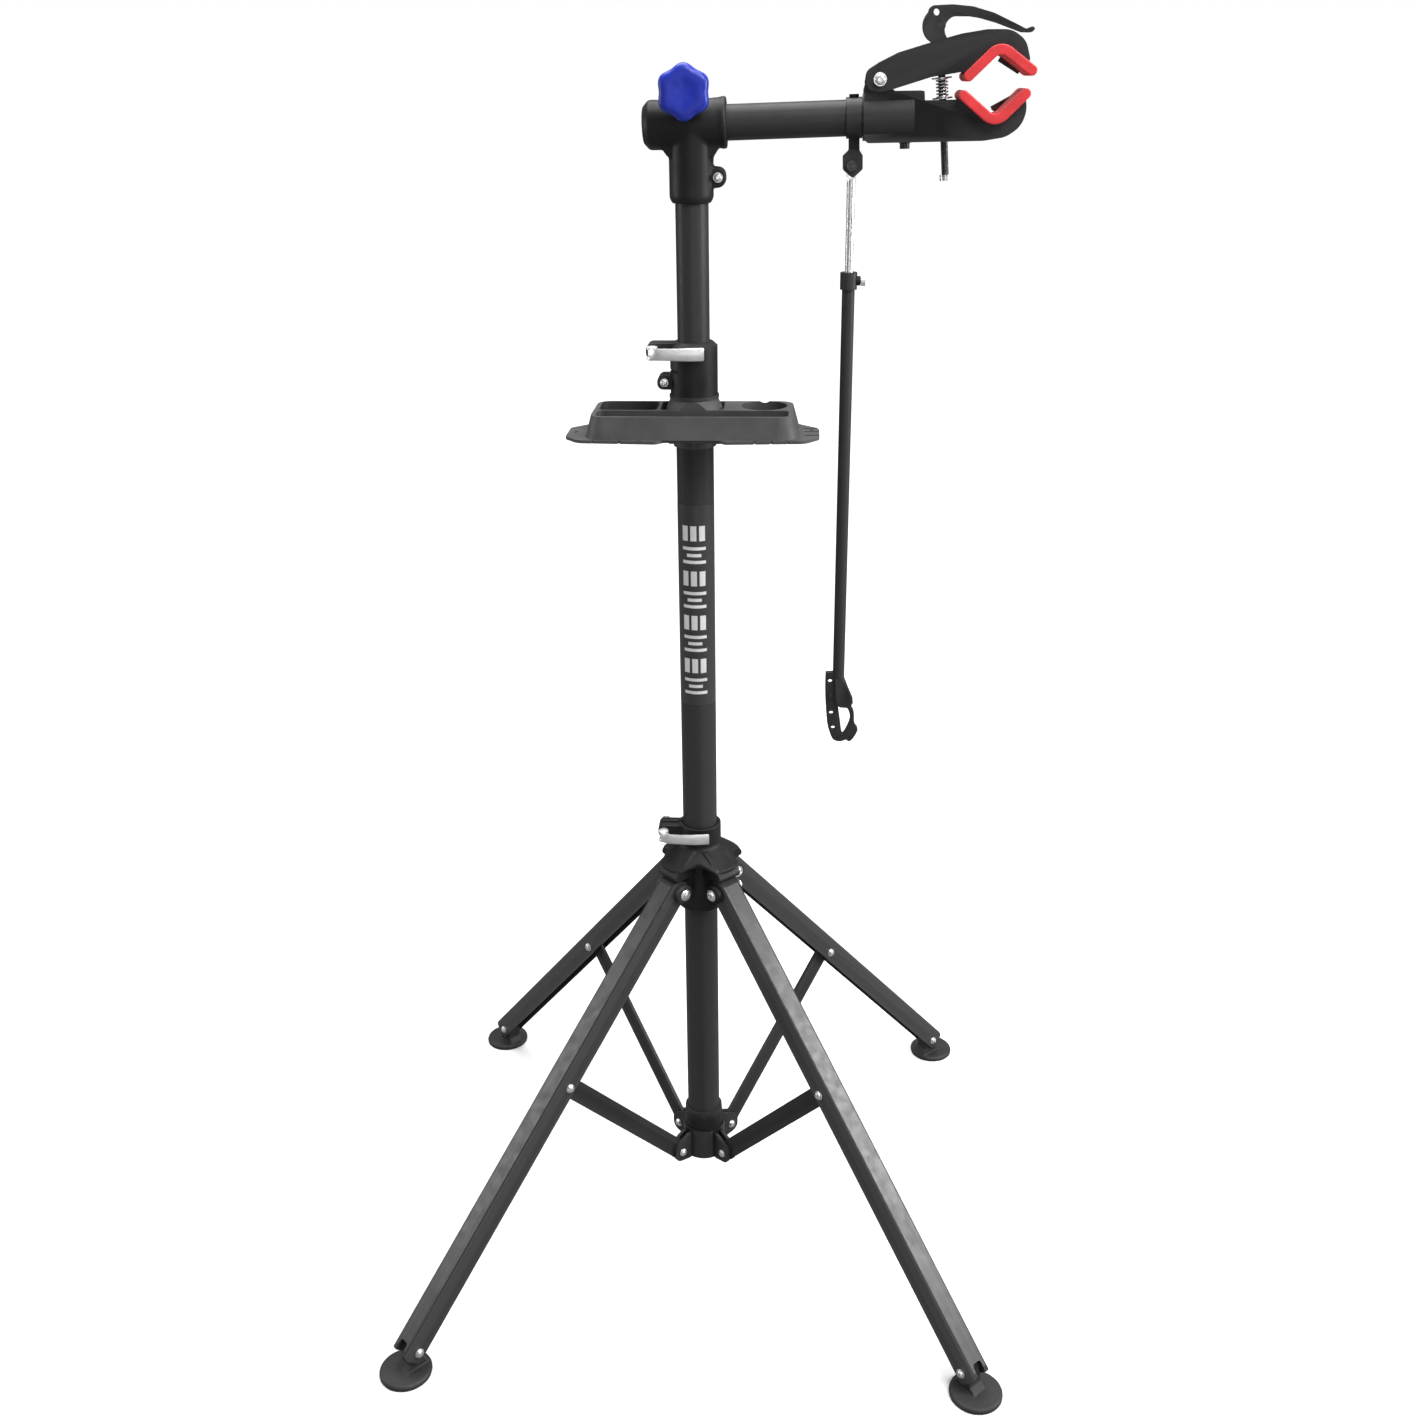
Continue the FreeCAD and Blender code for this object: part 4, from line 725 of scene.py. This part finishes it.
# Outlines of the strap in millimetres, across and up from the lower end of the holder tube.
STRAP_EDGE = [(-13.9, 32.5), (-12.0, 34.3), (-6.0, 34.5), (-3.6, 31.0), (-3.0, 16.0), (-2.0, 3.0),
              (3.0, -2.2), (9.0, -3.0), (14.5, -5.5), (17.6, -12.0), (18.3, -24.0), (21.8, -30.0),
              (21.6, -34.0), (17.5, -42.0), (13.4, -45.6), (9.4, -43.8), (5.0, -45.6), (-0.5, -45.4),
              (-4.6, -43.0), (-8.0, -35.5), (-11.0, -24.0), (-12.6, -8.0), (-13.8, 10.0)]
STRAP_WINDOW = [(0.8, -2.0), (5.5, -3.4), (10.5, -7.0), (12.9, -13.5), (13.1, -21.0), (9.8, -30.0),
                (6.4, -36.2), (4.6, -34.0), (2.6, -20.0), (1.0, -9.0)]
STRAP_HOLES = [(-8.9, 24.3, 2.5), (-7.0, -12.5, 2.5), (-4.6, -29.9, 2.4), (-0.2, -41.2, 1.0),
               (13.0, -41.2, 1.0)]
STRAP_HALF_WIDTH = 2.6 * MM
STRAP_ROUNDING = 0.5 * MM
HOLE_SIDES = 24
PEG_AT = (-7.6 * MM, 6.4 * MM)


def strap_outlines():
    outlines = [closed_curve(STRAP_EDGE, 4), closed_curve(STRAP_WINDOW, 4)]
    turns = [2 * math.pi * step / HOLE_SIDES for step in range(HOLE_SIDES)]
    for x, z, radius in STRAP_HOLES:
        hole = [Vector((x + radius * math.cos(turn), z + radius * math.sin(turn))) for turn in turns]
        outlines.append(hole)
    return outlines


def strap_mesh():
    """The flat drawing of the strap, filled, thickened and rounded."""
    drawing = bpy.data.curves.new("strap_drawing", "CURVE")
    drawing.dimensions = "2D"
    drawing.fill_mode = "BOTH"
    drawing.extrude = STRAP_HALF_WIDTH
    drawing.bevel_depth = STRAP_ROUNDING
    drawing.offset = -STRAP_ROUNDING
    for outline in strap_outlines():
        spline = drawing.splines.new("POLY")
        spline.points.add(len(outline) - 1)
        spline.use_cyclic_u = True
        for point, spot in zip(spline.points, outline):
            point.co = (spot.x * MM, spot.y * MM, 0, 1)
    holder = bpy.data.objects.new("strap_drawing", drawing)
    bpy.context.scene.collection.objects.link(holder)
    mesh = bpy.data.meshes.new_from_object(holder.evaluated_get(bpy.context.evaluated_depsgraph_get()))
    bpy.data.objects.remove(holder)
    return mesh


def make_strap():
    """Perforated rubber strap with a peg: a strip with round holes that runs into a handlebar loop."""
    low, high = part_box("stabiliser_tube")
    centre = (low.x + high.x) / 2
    upright = Matrix.Rotation(math.pi / 2, 4, "X")
    form = bmesh.new()
    form.from_mesh(strap_mesh())
    form.transform(Matrix.Translation((centre, 0, low.z)) @ upright)
    bmesh.ops.remove_doubles(form, verts=form.verts, dist=0.01 * MM)
    peg = Matrix.Translation((centre + PEG_AT[0], 0, low.z + PEG_AT[1])) @ upright
    lathe(form, [(0, -4.4 * MM), (2.6 * MM, -4.4 * MM), (3.4 * MM, -3.4 * MM), (3.4 * MM, 3.4 * MM),
                 (2.6 * MM, 4.4 * MM), (0, 4.4 * MM)], place=peg, sides=28)
    finish_piece("strap_look", form, BODY_OF["holder_strap"], "strap_rubber", stands_for=("holder_strap",))


make_strap()


# ---- label --------------------------------------------------------------------------
def curved_bar(form, low_angle, high_angle, base, top, inside, outside):
    """Thin patch that lies round the mast between two angles and two heights."""
    columns = []
    for part in range(13):
        angle = low_angle + (high_angle - low_angle) * part / 12
        column = []
        for reach, height in ((inside, base), (outside, base), (outside, top), (inside, top)):
            column.append(form.verts.new((reach * math.cos(angle), reach * math.sin(angle), height)))
        columns.append(column)
    skin(form, columns)


PRINT_CELLS = 8
PRINT_HALF_ANGLE = math.radians(38)
PRINT_TURN = math.radians(4)
PRINT_RISE = 0.06 * MM
PRINT_SINK = 0.3 * MM


def make_label_print():
    """Plain printed bars and blocks down the front of the label band, in place of lettering."""
    low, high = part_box("mast_label")
    outside = -low.y + PRINT_RISE
    inside = -low.y - PRINT_SINK
    tall = high.z - low.z
    step = tall * 0.88 / PRINT_CELLS
    facing = -math.pi / 2 - PRINT_TURN
    wide = PRINT_HALF_ANGLE
    form = bmesh.new()
    for cell in range(PRINT_CELLS):
        base = low.z + 0.06 * tall + cell * step
        if cell % 2:
            for part in range(3):
                left = facing - wide + part * 0.72 * wide
                curved_bar(form, left, left + 0.5 * wide, base, base + 0.66 * step, inside, outside)
        else:
            for rise in (0.0, 0.30, 0.60):
                reach = wide * (1.0 if rise != 0.30 else 0.6)
                curved_bar(form, facing - reach, facing + reach, base + rise * step,
                           base + (rise + 0.14) * step, inside, outside)
    finish_piece("label_print", form, "mast", "label_band", "label_print")


make_label_print()


# ---- stage --------------------------------------------------------------------------
FLOOR_HALF = 14.0
FLOOR_LEVEL = -0.4 * MM


def make_floor():
    mesh = bpy.data.meshes.new("floor")
    form = bmesh.new()
    corners = []
    for x, y in ((-1, -1), (1, -1), (1, 1), (-1, 1)):
        corners.append(form.verts.new((x * FLOOR_HALF, y * FLOOR_HALF, FLOOR_LEVEL)))
    form.faces.new(corners)
    form.to_mesh(mesh)
    form.free()
    floor = bpy.data.objects.new("floor", mesh)
    bpy.context.scene.collection.objects.link(floor)
    paint(floor, "floor")


SKY_LEVEL = (0.3, 1.0)


def make_world():
    """White backdrop for the camera, and a dimmer sky for the light that falls on the stand."""
    world = bpy.data.worlds.new("studio")
    world.use_nodes = True
    tree = world.node_tree
    background = tree.nodes["Background"]
    background.inputs["Color"].default_value = (1.0, 1.0, 1.0, 1.0)
    tree.links.new(camera_share(tree, *SKY_LEVEL), background.inputs["Strength"])
    bpy.context.scene.world = world


def area_light(name, place, target, size, power):
    lamp = bpy.data.lights.new(name, "AREA")
    lamp.shape = "DISK"
    lamp.size = size
    lamp.energy = power
    holder = bpy.data.objects.new(name, lamp)
    bpy.context.scene.collection.objects.link(holder)
    holder.location = place
    holder.rotation_mode = "QUATERNION"
    holder.rotation_quaternion = (Vector(target) - Vector(place)).to_track_quat("-Z", "Y")


# Name, place, target, size and power of each lamp.
LIGHTS = [("key", (1.3, -1.5, 3.0), (0.0, 0, 0.7), 1.5, 70),
          ("right", (2.3, -0.2, 1.35), (0.2, -0.15, 0.4), 1.1, 44),
          ("left", (-2.3, -0.1, 1.15), (-0.2, -0.15, 0.4), 1.1, 14),
          ("front", (0.3, -3.0, 0.9), (0, 0, 0.9), 1.2, 6),
          ("top", (-0.2, 0.5, 3.3), (0, 0, 0.6), 2.4, 85)]


def make_lights():
    for name, place, target, size, power in LIGHTS:
        area_light(name, place, target, size, power)


CAMERA_AT = Vector((0.1039, -1.5033, 1.2864))
CAMERA_YAW = -0.0611
CAMERA_PITCH = 0.3983
CAMERA_ROLL = -0.0102
SENSOR_WIDTH = 36.0
FOCAL_LENGTH = 38.11586


def make_camera():
    yaw = CAMERA_YAW
    pitch = CAMERA_PITCH
    roll = CAMERA_ROLL
    ahead = Vector((math.sin(yaw) * math.cos(pitch), math.cos(yaw) * math.cos(pitch), -math.sin(pitch)))
    level = Vector((math.cos(yaw), -math.sin(yaw), 0))
    above = level.cross(ahead)
    right = math.cos(roll) * level + math.sin(roll) * above
    top = math.cos(roll) * above - math.sin(roll) * level
    lens = bpy.data.cameras.new("camera")
    lens.sensor_width = SENSOR_WIDTH
    lens.lens = FOCAL_LENGTH
    lens.clip_start = 0.05
    lens.clip_end = 60.0
    camera = bpy.data.objects.new("camera", lens)
    bpy.context.scene.collection.objects.link(camera)
    turn = Matrix((right, top, -ahead)).transposed().to_4x4()
    camera.matrix_world = Matrix.Translation(CAMERA_AT) @ turn
    bpy.context.scene.camera = camera


make_floor()
make_world()
make_lights()
make_camera()
bpy.context.scene.view_settings.view_transform = "Standard"
